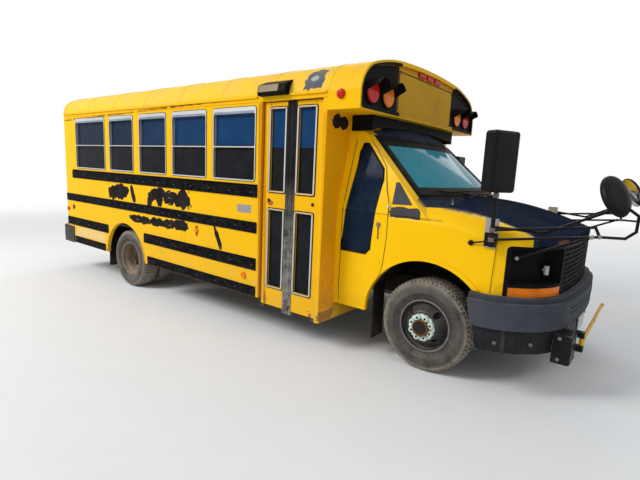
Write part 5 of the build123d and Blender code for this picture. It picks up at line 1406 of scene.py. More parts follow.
@dataclass
class RoofTrim:
    """Roof bows that show as raised straps, with rivets.

    Args:
        stations: Places of the straps.
    """

    stations: tuple[float, ...] = (-5660.0, -4960.0, -4260.0, -3560.0, -2860.0, -2160.0, -1500.0, -868.0)

    def build(self) -> None:
        """Builds the straps and rivets."""
        straps, heads = Shape(), Shape()
        low, high = roof_line(-0.5), roof_line(2.2)
        for x in self.stations:
            for (a, b), (c, d) in zip(zip(low, low[1:]), zip(high, high[1:])):
                lower = ((x - 22, *a), (x + 22, *a), (x + 22, *b), (x - 22, *b))
                upper = ((x - 22, *c), (x + 22, *c), (x + 22, *d), (x - 22, *d))
                straps.hexahedron(lower, upper)
            for before, (y, z), after in zip(high, high[1:], high[2:]):
                tangent = Vector((after[0] - before[0], after[1] - before[1])).normalized()
                for dx in (-13, 13):
                    heads.rivet((x + dx, y, z), (0.0, -tangent.y, tangent.x), 4.5, 2.0)
        straps.finish("roof_straps", "roof_yellow")
        heads.finish("roof_rivets", "roof_yellow")


TREAD_FACES = ((0, 1, 2, 3), (7, 6, 5, 4), (0, 4, 5, 1), (1, 5, 6, 2), (2, 6, 7, 3), (3, 7, 4, 0))


@dataclass
class Tyre:
    """Tyre with tread blocks that stands in for the plain solid.

    Args:
        name: Piece name.
        centres: Middle of each tyre in level millimetres.
        body: Wheel body.
        node: Solid it replaces.
        pitches: Tread blocks round the tyre.
    """

    name: str
    centres: tuple[Point, ...]
    body: Body
    node: str
    pitches: int = 62

    @staticmethod
    def crown(y: float) -> float:
        """Radius of the tread face at a side offset."""
        return WHEEL_Z - 3.0 * (y / 75.5) ** 2

    def build(self) -> None:
        """Builds the carcass and its tread."""
        profile = [
            (-79.5, BEAD_RADIUS), (-81, 210), (-86, 222), (-95, 236), (-104, 256), (-106, 260), (-109, 262),
            (-111.4, 290), (-110.5, 312), (-107, 316), (-104, 337), (-98, 350), (-90, 355.5), (-60, 357),
            (0, 359),
        ]
        profile += [(-y, r) for y, r in reversed(profile[:-1])]
        shape = Shape(SPACE.level)
        uvs: list[tuple[float, float]] = []
        ribs = (
            (-84, -57, 0.0, 0.18), (-50, -20, 0.5, -0.3), (-14, 14, 0.1, 0.0),
            (20, 50, 0.6, 0.3), (57, 84, 0.0, -0.18),
        )
        segments = 80
        for centre in self.centres:
            points = []
            for y, r in profile:
                points += [self.point(centre, y, r, 2 * math.pi * k / segments) for k in range(segments)]
                uvs += [(0.0, r)] * segments
            faces = []
            for a in range(0, (len(profile) - 1) * segments, segments):
                b = a + segments
                for k in range(segments):
                    n = (k + 1) % segments
                    faces.append((a + k, b + k, b + n, a + n))
            shape.add(points, faces)
            for index in range(self.pitches):
                for y0, y1, phase, skew in ribs:
                    self.block(shape, uvs, centre, y0, y1, index + phase, skew)
                for side in SIDES:
                    self.lug(shape, uvs, centre, side, index + 0.5)
        piece = shape.finish(self.name, "tyre_rubber", self.body, 40.0, "tyre_rubber")
        layer = piece.data.uv_layers.new(name="radius")
        for loop in piece.data.loops:
            raised, radius = uvs[loop.vertex_index]
            layer.data[loop.index].uv = (raised, (radius - 200.0) / 170.0)
        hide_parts(self.node)

    @staticmethod
    def point(centre: Point, y: float, radius: float, turn: float) -> Vector:
        """Point of the tyre at a side offset, a radius and an angle."""
        x = centre[0] + radius * math.cos(turn)
        return SPACE.level(x, centre[1] + y, centre[2] + radius * math.sin(turn))

    def block(
        self, shape: Shape, uvs: list, centre: Point, y0: float, y1: float, index: float, skew: float
    ) -> None:
        """Adds one tread block.

        Args:
            shape: Tyre under construction.
            uvs: Map of its points, which grows with them.
            centre: Middle of the tyre.
            y0: Right limit.
            y1: Left limit.
            index: Place round the tyre, in blocks.
            skew: How far its left end runs ahead.
        """
        step = 2 * math.pi / self.pitches
        corners = []
        for top in (False, True):
            for y, share in ((y0, -0.38), (y0, 0.38), (y1, 0.38), (y1, -0.38)):
                radius = self.crown(y) - (0.0 if top else 11.0)
                turn = step * (index + share + (skew if y == y1 else 0.0))
                corners.append(self.point(centre, y, radius, turn))
                uvs.append((float(top), radius))
        shape.add(corners, TREAD_FACES)

    def lug(self, shape: Shape, uvs: list, centre: Point, side: int, index: float) -> None:
        """Adds one shoulder lug.

        Args:
            shape: Tyre under construction.
            uvs: Map of its points, which grows with them.
            centre: Middle of the tyre.
            side: 1 for the left shoulder.
            index: Place round the tyre, in blocks.
        """
        step = 2 * math.pi / self.pitches
        corners = []
        for top, (inner, outer) in enumerate((((84, 351.0), (101, 334.0)), ((85, 362.8), (107, 340.0)))):
            for (y, radius), share in ((inner, -0.3), (inner, 0.3), (outer, 0.24), (outer, -0.24)):
                corners.append(self.point(centre, side * y, radius, step * (index + share)))
                uvs.append((float(top), radius))
        shape.add(corners, TREAD_FACES)


@dataclass
class WheelTrim:
    """Nuts, hub covers and valves of one wheel body.

    Args:
        name: Piece name prefix.
        body: Wheel body.
        centre: Wheel centre in level millimetres.
        side: Outer side, 1 for left.
        rear: Whether it is a dual rear wheel.
    """

    name: str
    body: Body
    centre: Point
    side: int
    rear: bool

    def build(self) -> None:
        """Builds the wheel's small pieces."""
        x, y, z = self.centre
        out = (0.0, float(self.side), 0.0)
        face = y - self.side * (DISC_OFFSET - 8) if self.rear else y + self.side * DISC_OFFSET
        nuts = Shape(SPACE.level)
        ring = Shape(SPACE.level)
        for index in range(8):
            turn = 2 * math.pi * (index + 0.5) / 8
            foot = (x + 82.55 * math.cos(turn), face, z + 82.55 * math.sin(turn))
            if self.rear:
                nuts.lathe(((0, 19), (26, 18.5), (30, 12)), foot, out, 6)
            else:
                ring.lathe(((-1, 25), (10, 24), (28.6, 22), (29.4, 15)), foot, out, 18)
                nuts.lathe(((29, 9), (33, 9), (35, 6)), foot, out, 8)
        if self.rear:
            hub = Shape(SPACE.level)
            hub.lathe(((8, 68), (60, 66), (66, 58), (68, 52)), (x, y - self.side * 60, z), out, 32)
            hub.finish(f"{self.name}_hub_cap", "chassis_black", self.body)
        else:
            ring.lathe(((-1, 65), (-1, 109), (10.6, 108), (12, 104), (12, 66)), (x, face, z), out, 8)
            ring.finish(f"{self.name}_nut_ring", "hub_mint", self.body)
            bore = Shape(SPACE.level)
            profile = ((-2, 67), (38.6, 66.5), (45, 63), (46, 60), (45, 54), (39, 51))
            bore.lathe(profile, (x, face, z), out, 32)
            bore.finish(f"{self.name}_hub_face", "hub_rust", self.body)
            # Painted shade: a thin black disc closes the hub bore so the bore reads as a dark hole.
            nuts.lathe(((38, 52), (39.4, 51)), (x, face, z), out, 24)
            # Painted highlight: two pale rings on the rim's outer edge stand in for the light it catches.
            lip = Shape(SPACE.level)
            loop = [math.radians(7.5 * k) for k in range(48)]
            for inset, radius in ((91.5, 206), (91, 199)):
                line = y + self.side * inset
                points = [(x + radius * math.cos(a), line, z + radius * math.sin(a)) for a in loop]
                lip.pipe(points, 1.8, 5, closed=True)
            lip.finish(f"{self.name}_rim_highlights", "rim_highlight", self.body)
        nuts.finish(f"{self.name}_nuts", "bolt_steel" if self.rear else "rubber_black", self.body)
        valve = Shape(SPACE.level)
        start = y + self.side * (40 if self.rear else 60)
        steps = ((168, 0), (154, 26), (152, 40))
        valve.pipe([(x + dx, start + self.side * dy, z) for dx, dy in steps], 3.4, 8)
        valve.finish(f"{self.name}_valve", "rubber_black", self.body)


@dataclass
class Lamps:
    """Bezels and small parts of the lamps."""

    def bezels(self) -> None:
        """Rings round the warning and tail lamps."""
        rings = Shape()
        for side in SIDES:
            for y in (1001, 757):
                rings.lathe(((0, 92), (9, 92), (9, 88.5)), (-574, side * y, 2156), (1, 0, 0), 36)
            for z, radius in ((1180, 85), (960, 85), (770, 52)):
                profile = ((-1, radius + 12), (14, radius + 10), (16, radius + 2))
                rings.lathe(profile, (REAR_X, side * 950, z), (-1, 0, 0), 36)
            for y in (940, 740):
                rings.lathe(((-1, 82), (12, 80), (14, 72)), (REAR_X, side * y, 2230), (-1, 0, 0), 36)
        rings.finish("lamp_bezels", "lamp_black")

    def headlamps(self) -> None:
        """Bare bulb of the missing right lamp and reflector of the left one."""
        socket = Shape()
        socket.lathe(((0, 24), (16, 26), (20, 18), (44, 17)), (700, -629, 905), (0.77, -0.64, 0.0), 20)
        for z, way in ((868, -1), (942, 1)):
            socket.lathe(((0, 18.5), (6, 18), (10, 9)), (756, -676, z), (0, 0, way), 18)
        socket.pipe([(704, -633, 890), (728, -650, 850), (722, -690, 826), (700, -720, 838)], 4, 8)
        socket.finish("bulb_socket", "lamp_black")
        shell = Shape()
        shell.lathe(((0, 95), (12, 92), (40, 70), (62, 36), (66, 12)), (806, 745, 950), (-1, 0, 0), 32)
        shell.finish("left_lamp_reflector", "trim_silver")

    def sign(self) -> None:
        """Border of the blank sign, and the flood lamp's lens."""
        border = Shape()
        x0, x1 = -574.5, -572.5
        for z0, z1 in ((2030, 2040), (2386, 2394)):
            border.box(x0, x1, -583, 583, z0, z1)
        for side in SIDES:
            border.box(x0, x1, side * 573, side * 583, 2030, 2394)
            for y, z in ((560, 2052), (560, 2374), (0, 2052), (0, 2374)):
                border.rivet((x1, side * y, z), (1, 0, 0), 7, 3)
        border.finish("sign_border", "rubber_black")
        lens = Shape()
        low, high = (-1268.2, 2176), (-1255.4, 2234)
        flat = [(-1582, *low), (-1348, *low), (-1348, *high), (-1582, *high)]
        lens.hexahedron(flat, [(x, y + 2, z - 0.5) for x, y, z in flat])
        lens.finish("flood_lens", "lens_tan")

    def cap(self) -> None:
        """Inner rim of the front cap, the sign's foot and the marker lenses."""
        front = -545.2
        rim = Shape()
        for side in SIDES:
            outer, inner = (
                [(front, y, z) for y, z in self.beside_sign(inset, foot, side)]
                for inset, foot in ((18, 2013), (36.6, 2041))
            )
            rim.strip(inner, outer, (1.4, 0, 0))
            rim.strip([(-573, y, z) for _, y, z in inner], inner, (0, 0, -0.8))
            rim.box(front, -543.8, side * SIGN_HALF, side * 1175, 2013, 2042)
        rim.finish("cap_inner_rim", "lamp_black")
        foot = Shape()
        foot.box(front, -543.6, -SIGN_HALF, SIGN_HALF, 2013, 2041)
        foot.finish("sign_foot", "sign_yellow")
        markers = Shape()
        for y in (-170, 0, 170):
            markers.box(-573, -560, y - 64, y + 64, 2404, 2446)
            markers.box(-561, -555, y - 56, y + 56, 2410, 2440)
        for side in SIDES:
            profile = ((-1, 38), (12, 37), (20, 31), (23, 18))
            markers.lathe(profile, (-722, side * HALF_WIDTH, 2119), (0, side, 0), 28)
        markers.finish("marker_lenses", "lens_red")

    def build(self) -> None:
        """Builds the lamps' small pieces."""
        for step in (self.bezels, self.headlamps, self.sign, self.cap):
            step()

    @staticmethod
    def beside_sign(inset: float, foot: float, side: int) -> list[tuple[float, float]]:
        """Line round the cap's rim, cut off where the sign starts.

        Args:
            inset: Distance inside the skin.
            foot: Height of the lower end.
            side: 1 for the left.

        Returns:
            (Y, Z) points.
        """
        half = HALF_WIDTH - inset
        line = [(-half, foot), *roof_line(-inset), (half, foot)]
        kept = []
        for (y0, z0), (y1, z1) in zip(line, line[1:] + line[-1:]):
            before, after = side * y0 - SIGN_HALF, side * y1 - SIGN_HALF
            if before > 0:
                kept.append((y0, z0))
            if before * after < 0:
                kept.append((side * SIGN_HALF, z0 + (z1 - z0) * (side * SIGN_HALF - y0) / (y1 - y0)))
        return kept


@dataclass
class EntranceTrim:
    """Silver pane frames, rubber and knobs of the entrance leaves."""

    def build(self) -> None:
        """Builds the trim of both leaves."""
        leaves = (
            (Body.ENTRANCE_FRONT, "front", -926.0, -1.0, -1192.0),
            (Body.ENTRANCE_REAR, "rear", -1548.0, 1.0, -1288.0),
        )
        for body, name, hinge_x, way, meeting in leaves:
            edge = hinge_x - way * 22
            x0, x1 = sorted((edge + way * 62, meeting - way * 12))
            silver, rubber = Shape(), Shape()
            for z0, z1 in ((425.0, 1165.0), (1310.0, 2055.0)):
                frame_line = rounded(x0 + 8, x1 - 8, z0 + 8, z1 - 8, 12, -1186.5)
                silver.pipe(frame_line, 8.0, 6, closed=True, flat=0.6)
                rubber.pipe(rounded(x0 - 2, x1 + 2, z0 - 2, z1 + 2, 16, -1181.5), 5.0, 6, closed=True)
                rubber.pipe(rounded(x0 + 18, x1 - 18, z0 + 18, z1 - 18, 7, -1180), 4.0, 6, closed=True)
            silver.finish(f"entrance_{name}_pane_frames", "trim_silver", body)
            rubber.finish(f"entrance_{name}_pane_rubber", "rubber_black", body)
            seal = Shape()
            s0, s1 = sorted((meeting - way * 2, meeting + way * 47))
            ridge = (s0 + s1) / 2
            seal.box(s0 - 1, s1 + 1, -1187.5, -1139, 214, 2091.5)
            seal.pipe([(ridge, -1188, 216), (ridge, -1188, 2090)], 5, 8)
            seal.finish(f"entrance_{name}_seal", "seal_black", body)
            knobs = Shape()
            x = hinge_x + way * 54
            knobs.lathe(((0, 14), (8, 13), (12, 8)), (x, -1180, 1238), (0, -1, 0), 16)
            for z in (300, 2080):
                knobs.rivet((x, -1180, z), (0, -1, 0), 6, 3)
            knobs.finish(f"entrance_{name}_knobs", "lamp_black", body)
            hinge = Shape()
            hinge.pipe([(edge + way * 8, -1179.5, z) for z in (262, 2080)], 2.2, 8)
            hinge.finish(f"entrance_{name}_edge", "trim_yellow", body)


@dataclass
class CabTrim:
    """Windscreen surround, wipers, seams and handles of the cab."""

    @staticmethod
    def screen_x(y: float, z: float, offset: float = 0.0) -> float:
        """Station of the windscreen surface."""
        radius = (1100.0**2 + 250.0**2) / 500.0
        return 20.0 + (1350.0 - z) * 620.0 / 540.0 + offset - (radius - math.sqrt(radius**2 - y**2))

    def outline(self, inset: float, offset: float) -> list[Point]:
        """Loop round the windscreen.

        Args:
            inset: Distance inside the glass edge.
            offset: Distance in front of the outer surface.

        Returns:
            The points.
        """
        low, high = 1372.0 + inset, 1820.0 - inset
        rows = [low + (high - low) * i / 8 for i in range(1, 8)]

        def half(z: float) -> float:
            return 985.0 - 147.0 * (z - 1300.0) / 572.0 - 92.0 - inset

        points = [(y * half(low) / 10, low) for y in range(-10, 11)]
        points += [(half(z), z) for z in rows]
        points += [(-y * half(high) / 10, high) for y in range(-10, 11)]
        points += [(-half(high - (high - low) * i / 8), high - (high - low) * i / 8) for i in range(1, 8)]
        return [(self.screen_x(y, z, offset), y, z) for y, z in points]

    def screen(self) -> None:
        """Windscreen rubber, its black band, the wipers and the cowl slats."""
        rubber = Shape()
        rubber.pipe(self.outline(0, 2), 9, 8, closed=True)
        rubber.finish("windscreen_rubber", "rubber_black")
        band = Shape()
        outer = self.outline(-26, 1.5)
        inner = self.outline(58, -8)
        band.strip(inner + inner[:1], outer + outer[:1], (1.2, 0, 1.2))
        band.finish("windscreen_band", "lamp_black")
        wipers = Shape()
        for pivot_y, reach in ((-300, 860), (-40, -660)):
            base = (self.screen_x(pivot_y, 1344, 26), pivot_y, 1352)
            elbow_y = pivot_y + reach * 0.55
            wipers.lathe(((-12, 14), (8, 14), (14, 9)), base, (0.66, 0, 0.75), 14)
            wipers.pipe([base, (self.screen_x(elbow_y, 1400, 26), elbow_y, 1400)], 6, 8)
            y0, y1 = elbow_y - reach * 0.42, elbow_y + reach * 0.45
            line = [y0 + (y1 - y0) * k / 8 for k in range(9)]
            blade = [(self.screen_x(y, 1402, 12), y, 1402 + 6 * math.sin(i)) for i, y in enumerate(line)]
            wipers.pipe(blade, 5, 6)
        wipers.finish("wipers", "rubber_black")
        cowl = Shape()
        for y in range(-560, 561, 40):
            x = -28 - 60 * (y / 600) ** 2
            drop = 58 * (y / 700) ** 2
            cowl.box(x - 40, x + 24, y - 12, y + 12, 1347 - drop, 1354 - drop)
        cowl.finish("cowl_slats", "lamp_black")

    def seams(self) -> None:
        """Door seams, the side crease and the rubber of the right pane."""
        seams = Shape()
        for side in SIDES:
            skin = side * 1003.4
            lower = [(-354, skin, 1285), (-354, skin, 1031), (-375, skin, 788), (-420, skin, 640)]
            seams.pipe([*lower, (-459, skin * 0.996, 524)], 2.6, 6)
            if side < 0:
                front = [(-354, -1001, 1296), (-400, -966, 1400), (-446, -914, 1580), (-560, -880, 1722)]
                rear = [(-793, -988, 400), (-793, -1004, 510), (-793, -1004, 1205), (-790, -985, 1302)]
                seams.pipe([*front, (-640, -858, 1800)], 2.6, 6)
                seams.pipe([*rear, (-780, -858, 1800)], 2.6, 6)
            seams.pipe([(x, side * 1003.6, 1208) for x in (-800, -500, -200, 100)], 1.6, 5)
        seams.finish("door_seams", "rubber_black")
        pane = Shape()
        outline = [(-784, 868), (-544, 868), (-506, 908), (-454, 1478), (-468, 1562), (-658, 1768)]
        outline += [(-697, 1768), (-718, 1698), (-788, 906)]
        pane.pipe([(x, -self.side_y(z) - 1, z) for x, z in outline], 9, 8, closed=True)
        pane.finish("side_pane_rubber", "rubber_black")

    def fittings(self) -> None:
        """Quarter plates, the driver's mirror face, lock, button and aerial."""
        quarter = Shape()
        for side in SIDES:
            corners = [(-332, 1292), (-160, 1299), (-301, 1464), (-330, 1464)]
            flat = [(x, side * (self.side_y(z) - 2), z) for x, z in corners][::-side]
            quarter.hexahedron(flat, [(x, y + side * 7, z) for x, y, z in flat])
        quarter.finish("quarter_plates", "bumper_plastic")
        face = Shape()
        face.box(-711.6, -710.6, 1062, 1238, 1469, 1733)
        face.finish("driver_mirror_face", "mirror_face", Body.DRIVER_DOOR)
        lock = Shape()
        lock.lathe(((0, 17), (10, 16), (16, 12), (17, 5)), (-435, -1002, 1117), (0, -1, 0), 18)
        lock.box(-447, -423, -1003, -1016, 1122, 1136)
        lock.finish("side_lock", "bolt_steel")
        cap = Shape()
        cap.lathe(((0, 13), (4, 12), (6, 6)), (-360, -1000, 1270), (0, -1, 0), 16)
        cap.finish("side_button", "trim_silver")
        aerial = Shape()
        aerial.lathe(((0, 15), (12, 11), (34, 5), (52, 4)), (20, -640, 1296), (0, -0.1, 1), 14)
        aerial.finish("aerial_base", "bolt_steel")

    def build(self) -> None:
        """Builds the cab's small pieces."""
        for step in (self.screen, self.seams, self.fittings):
            step()

    @staticmethod
    def side_y(z: float) -> float:
        """Half width of the cab at a height.

        Args:
            z: The height.

        Returns:
            The half width.
        """
        if z < 1205:
            return 1003.0
        if z < 1300:
            return 1003.0 - 18.0 * (z - 1205) / 95.0
        return 985.0 - 147.0 * (z - 1300.0) / 572.0


@dataclass
class NoseTrim:
    """Grille screen, hood lines and bumper fittings."""

    def build(self) -> None:
        """Builds the nose's small pieces."""
        screen = Shape()
        for start in range(-560, 561, 35):
            for lean in (-1, 1):
                line = [(start + lean * 36 * k, 725 + 64 * k) for k in range(6)]
                path = [(self.front_x(y) - 12, y, z) for y, z in line if abs(y) < 570]
                if len(path) > 1:
                    screen.pipe(path, 2.4, 4)
        screen.finish("grille_screen", "grille_black")
        trims = Shape()
        for side in SIDES:
            trims.pipe([(480, side * 1002, 745), (486, side * 1003.5, 900), (492, side * 1001, 1060)], 2.0, 5)
        trims.finish("fender_creases", "rubber_black")
        pad = Shape()
        for z in (604, 640):
            pad.pipe([(self.front_x(y) + 72, y, z) for y in range(-560, 561, 80)], 3, 6)
        pad.finish("bumper_pad_grooves", "rubber_black")
        bolts = Shape()
        for y in (-470, -430, 430, 470):
            for z in (380, 480):
                bolts.bolt((self.front_x(y) + 44, y, z), (1, 0, 0), 11, 8)
        for x, y in ((560, 1047), (760, 905)):
            for side in SIDES:
                bolts.bolt((x, side * y, 420), (0.1, side, 0), 9, 6)
        for z in (306, 458):
            for y in (-712, -600):
                bolts.bolt((985, y, z), (1, 0, 0), 9, 6)
            bolts.bolt((905, -735, z), (0, -1, 0), 9, 6)
        bolts.finish("bumper_bolts", "bolt_steel")
        plate = Shape()
        plate.box(936, 939.5, -155, 155, 345, 500)
        plate.finish("front_plate_blank", "white_paint")
        lines = Shape()
        for side in SIDES:
            ridge = ((66, 520, 1322), (320, 500, 1291), (644, 470, 1208), (860, 430, 1118))
            lines.pipe([(x, side * y, z) for x, y, z in ridge], 6, 6, flat=0.4)
        lines.finish("hood_ridges", "hood_black", Body.HOOD)

    @staticmethod
    def front_x(y: float) -> float:
        """Front of the nose's plan outline."""
        return 890.0 - 42.0 * (y / 600.0) ** 2


@dataclass
class MirrorTrim:
    """Clamps, bolts, stays and base pads of the mirrors."""

    def build(self) -> None:
        """Builds the mirror fittings."""
        clamps, pads, stays = Shape(), Shape(), Shape()
        for side in SIDES:
            for z in (1125, 1190, 1420) if side < 0 else (1125, 1190):
                clamps.lathe(((-14, 20), (14, 20), (16, 17)), (470, side * 1060, z), (0, 0, 1), 16)
                clamps.bolt((470, side * 1080, z), (0, side, 0), 7, 8)
            for point in ((1058, 850, 1200), (1105, 822, 1372), (620, 950, 1008), (1020, 868, 1195)):
                clamps.lathe(((-11, 13), (11, 13)), (point[0], side * point[1], point[2]), (0, 1, 0), 12)
            pads.box(408, 494, side * 1003, side * 1014, 1062, 1262)
            stays.pipe([(470, side * 1058, 1120), (400, side * 1030, 1098), (318, side * 1008, 1078)], 6, 8)
            stays.lathe(((0, 20), (12, 18), (16, 10)), (318, side * 1002, 1078), (0, side, 0), 16)
        clamps.finish("mirror_clamps", "bolt_steel")
        pads.finish("mirror_pads", "pad_grey")
        stays.finish("mirror_stays", "mirror_black")


@dataclass
class RearTrim:
    """Rear door furniture, plate and tail details."""

    def build(self) -> None:
        """Builds the rear's small pieces."""
        door = Shape()
        for z0, z1 in ((790, 1200), (1340, 1990)):
            loop = [(REAR_X - 6, y, z) for y, _, z in rounded(-302, 302, z0, z1, 30, 0.0)]
            door.pipe(loop, 7, 6, closed=True)
        door.finish("rear_door_rubber", "rubber_black", Body.REAR_DOOR)
        grip = Shape()
        grip.lathe(((0, 26), (8, 25), (12, 16)), (REAR_X, 362, 1246), (-1, 0, 0), 20)
        for z in (760, 1225, 1900):
            for y in (-395, -370):
                grip.bolt((REAR_X - 20, y, z + 35), (-1, 0, 0), 5, 4)
        grip.finish("rear_door_fittings", "bolt_steel", Body.REAR_DOOR)
        plate = Shape()
        plate.box(REAR_X - 3, REAR_X + 1, -920, -610, 560, 715)
        plate.finish("rear_plate_blank", "white_paint")
        tape = Shape()
        for side in SIDES:
            tape.box(REAR_X - 2, REAR_X + 1, side * 470, side * 520, 560, 2060)
        tape.finish("rear_door_tape", "sign_yellow")
        bolts = Shape()
        for y in (-900, -430, 430, 900):
            for z in (350, 470):
                bolts.bolt((-5850, y, z), (-1, 0, 0), 11, 7)
        bolts.finish("rear_bumper_bolts", "bolt_steel")


@dataclass
class ArmTrim:
    """Rims, lamps and caps of the stop and crossing arms."""

    def build(self) -> None:
        """Builds the arms' small pieces."""
        rim = Shape()
        centre_x, y, z = -1310.0, 1244.0, 1120.0
        corners = [math.radians(22.5 + 45 * k) for k in range(9)]
        inner, outer = (
            [(centre_x + radius * math.cos(a), y, z + radius * math.sin(a)) for a in corners]
            for radius in (210.0, 236.0)
        )
        rim.strip(inner, outer, (0, 1.2, 0))
        rim.finish("stop_arm_border", "white_paint", Body.STOP_ARM)
        lamps = Shape()
        for dz in (-150, 150):
            lamps.lathe(((0, 42), (10, 40), (16, 26)), (centre_x, y - 2, z + dz), (0, 1, 0), 24)
        lamps.finish("stop_arm_lamps", "lens_red", Body.STOP_ARM)
        caps = Shape()
        caps.lathe(((-8, 14), (14, 14), (18, 10)), (1018, 720, 404), (0, 1, 0), 16)
        for end in (-500, 100, 630):
            caps.lathe(((-6, 12.6), (6, 12.6)), (1018, end, 404), (0, 1, 0), 16)
        caps.finish("crossing_arm_caps", "rubber_black", Body.CROSSING_ARM)


@dataclass
class Seats:
    """Padded benches and driver's seat that stand in for the plain pads.

    Args:
        gap: How far the foam starts inside its cover, in millimetres.
        cap: How far the cover may swell, in metres.
        voxel: Face size of the cover, in metres.
        steps: Frames in which the cover settles.
    """

    gap: float = 9.0
    cap: float = 0.011
    voxel: float = 0.018
    steps: int = 20

    def foam(self, name: str, profile: Sequence[Pair], y0: float, y1: float) -> bpy.types.Object:
        """Makes one closed cushion and lets its cover swell.

        Args:
            name: Piece name.
            profile: (X, Z) outline, counter-clockwise.
            y0: Right end.
            y1: Left end.

        Returns:
            The cushion.
        """
        mid_x = sum(x for x, _ in profile) / len(profile)
        mid_z = sum(z for _, z in profile) / len(profile)
        inner = []
        for x, z in profile:
            far = math.dist((x, z), (mid_x, mid_z))
            inner.append((x + (mid_x - x) * self.gap / far, z + (mid_z - z) * self.gap / far))
        count = len(inner)
        shape = Shape()
        points = [SPACE.body(x, y, z) for y in (y0 + self.gap, y1 - self.gap) for x, z in inner]
        faces = [tuple(range(count)), tuple(reversed(range(count, 2 * count)))]
        faces += [(i, i + count, (i + 1) % count + count, (i + 1) % count) for i in range(count)]
        shape.add(points, faces)
        piece = shape.finish(name, "seat_vinyl", Body.CHASSIS, 60.0, "seat_vinyl")
        remesh = piece.modifiers.new("cover", "REMESH")
        remesh.mode = "VOXEL"
        remesh.voxel_size = self.voxel
        self.bake(piece)
        self.settle(piece)
        for polygon in piece.data.polygons:
            polygon.use_smooth = True
        return piece

    @staticmethod
    def bake(piece: bpy.types.Object) -> None:
        """Applies a piece's modifiers to its mesh.

        Args:
            piece: The piece.
        """
        graph = bpy.context.evaluated_depsgraph_get()
        made = bpy.data.meshes.new_from_object(piece.evaluated_get(graph), depsgraph=graph)
        piece.modifiers.clear()
        piece.data = made

    def settle(self, piece: bpy.types.Object) -> None:
        """Swells the cover as cloth under pressure and caps how far it moves.

        Args:
            piece: Remeshed cushion.
        """
        before = [vertex.co.copy() for vertex in piece.data.vertices]
        cloth = piece.modifiers.new("cover", "CLOTH")
        cloth.settings.use_pressure = True
        cloth.settings.uniform_pressure_force = 4.0
        cloth.settings.effector_weights.gravity = 0.0
        cloth.point_cache.frame_end = self.steps
        for step in range(1, self.steps + 1):
            bpy.context.scene.frame_set(step)
        self.bake(piece)
        for vertex, start in zip(piece.data.vertices, before):
            moved = vertex.co - start
            if moved.length > self.cap:
                vertex.co = start + moved.normalized() * self.cap
        bpy.context.scene.frame_set(1)

    def bench_pieces(self, name: str, first: bpy.types.Object) -> list[bpy.types.Object]:
        """Copies one cushion or back to each bench.

        Args:
            name: What it is.
            first: The pad, which goes to the first bench on the left.

        Returns:
            The pieces, each moved to its bench.
        """
        pieces = [
            (first if row == 0 and side > 0 else self.copy(first, f"bench_{name}_{row}_{word}"), row, side)
            for row in range(BENCH_ROWS) for side, word in ((1, "left"), (-1, "right"))
            if side > 0 or row < BENCH_ROWS - 1
        ]
        for piece, row, side in pieces:
            across = 0 if side > 0 else -(BENCH_INNER_Y + BENCH_OUTER_Y)
            shift = SPACE.body(BENCH_X + row * BENCH_PITCH, across, 0) - SPACE.body(0, 0, 0)
            for vertex in piece.data.vertices:
                vertex.co += shift
        return [piece for piece, _, _ in pieces]

    @staticmethod
    def copy(first: bpy.types.Object, name: str) -> bpy.types.Object:
        """Copies a pad, with a mesh of its own.

        Args:
            first: Pad to copy.
            name: Name of the copy.

        Returns:
            The copy.
        """
        piece = bpy.data.objects.new(name, first.data.copy())
        bpy.context.scene.collection.objects.link(piece)
        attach(piece, Body.CHASSIS.value)
        return piece

    def build(self) -> None:
        """Builds the benches and the driver's seat."""
        seat = FLOOR_Z + 340
        cushion = [(0, seat - 29), (480, seat + 1), (480, seat + 110), (128, seat + 94), (-12, seat + 90)]
        cushion.append((-19, seat + 58))
        back = [(-20, seat + 96), (116, seat + 101), (55, seat + 659), (-39, seat + 659)]
        driver = [(-1040, 906), (-560, 931), (-560, 1025), (-898, 1010), (-1062, 1002), (-1069, 960)]
        driver_back = [(-1066, 1008), (-902, 1016), (-1010, 1559), (-1099, 1559)]
        firsts = {
            name: self.foam(f"bench_{name}_0_left", profile, BENCH_INNER_Y, BENCH_OUTER_Y)
            for name, profile in (("cushion", cushion), ("back", back))
        }
        pieces = [piece for name, first in firsts.items() for piece in self.bench_pieces(name, first)]
        for name, profile in (("driver_cushion", driver), ("driver_back", driver_back)):
            pieces.append(self.foam(name, profile, 180, 680))
        for piece in pieces:
            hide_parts("seat_pads")
            LOG.info("padded %s", piece.name)


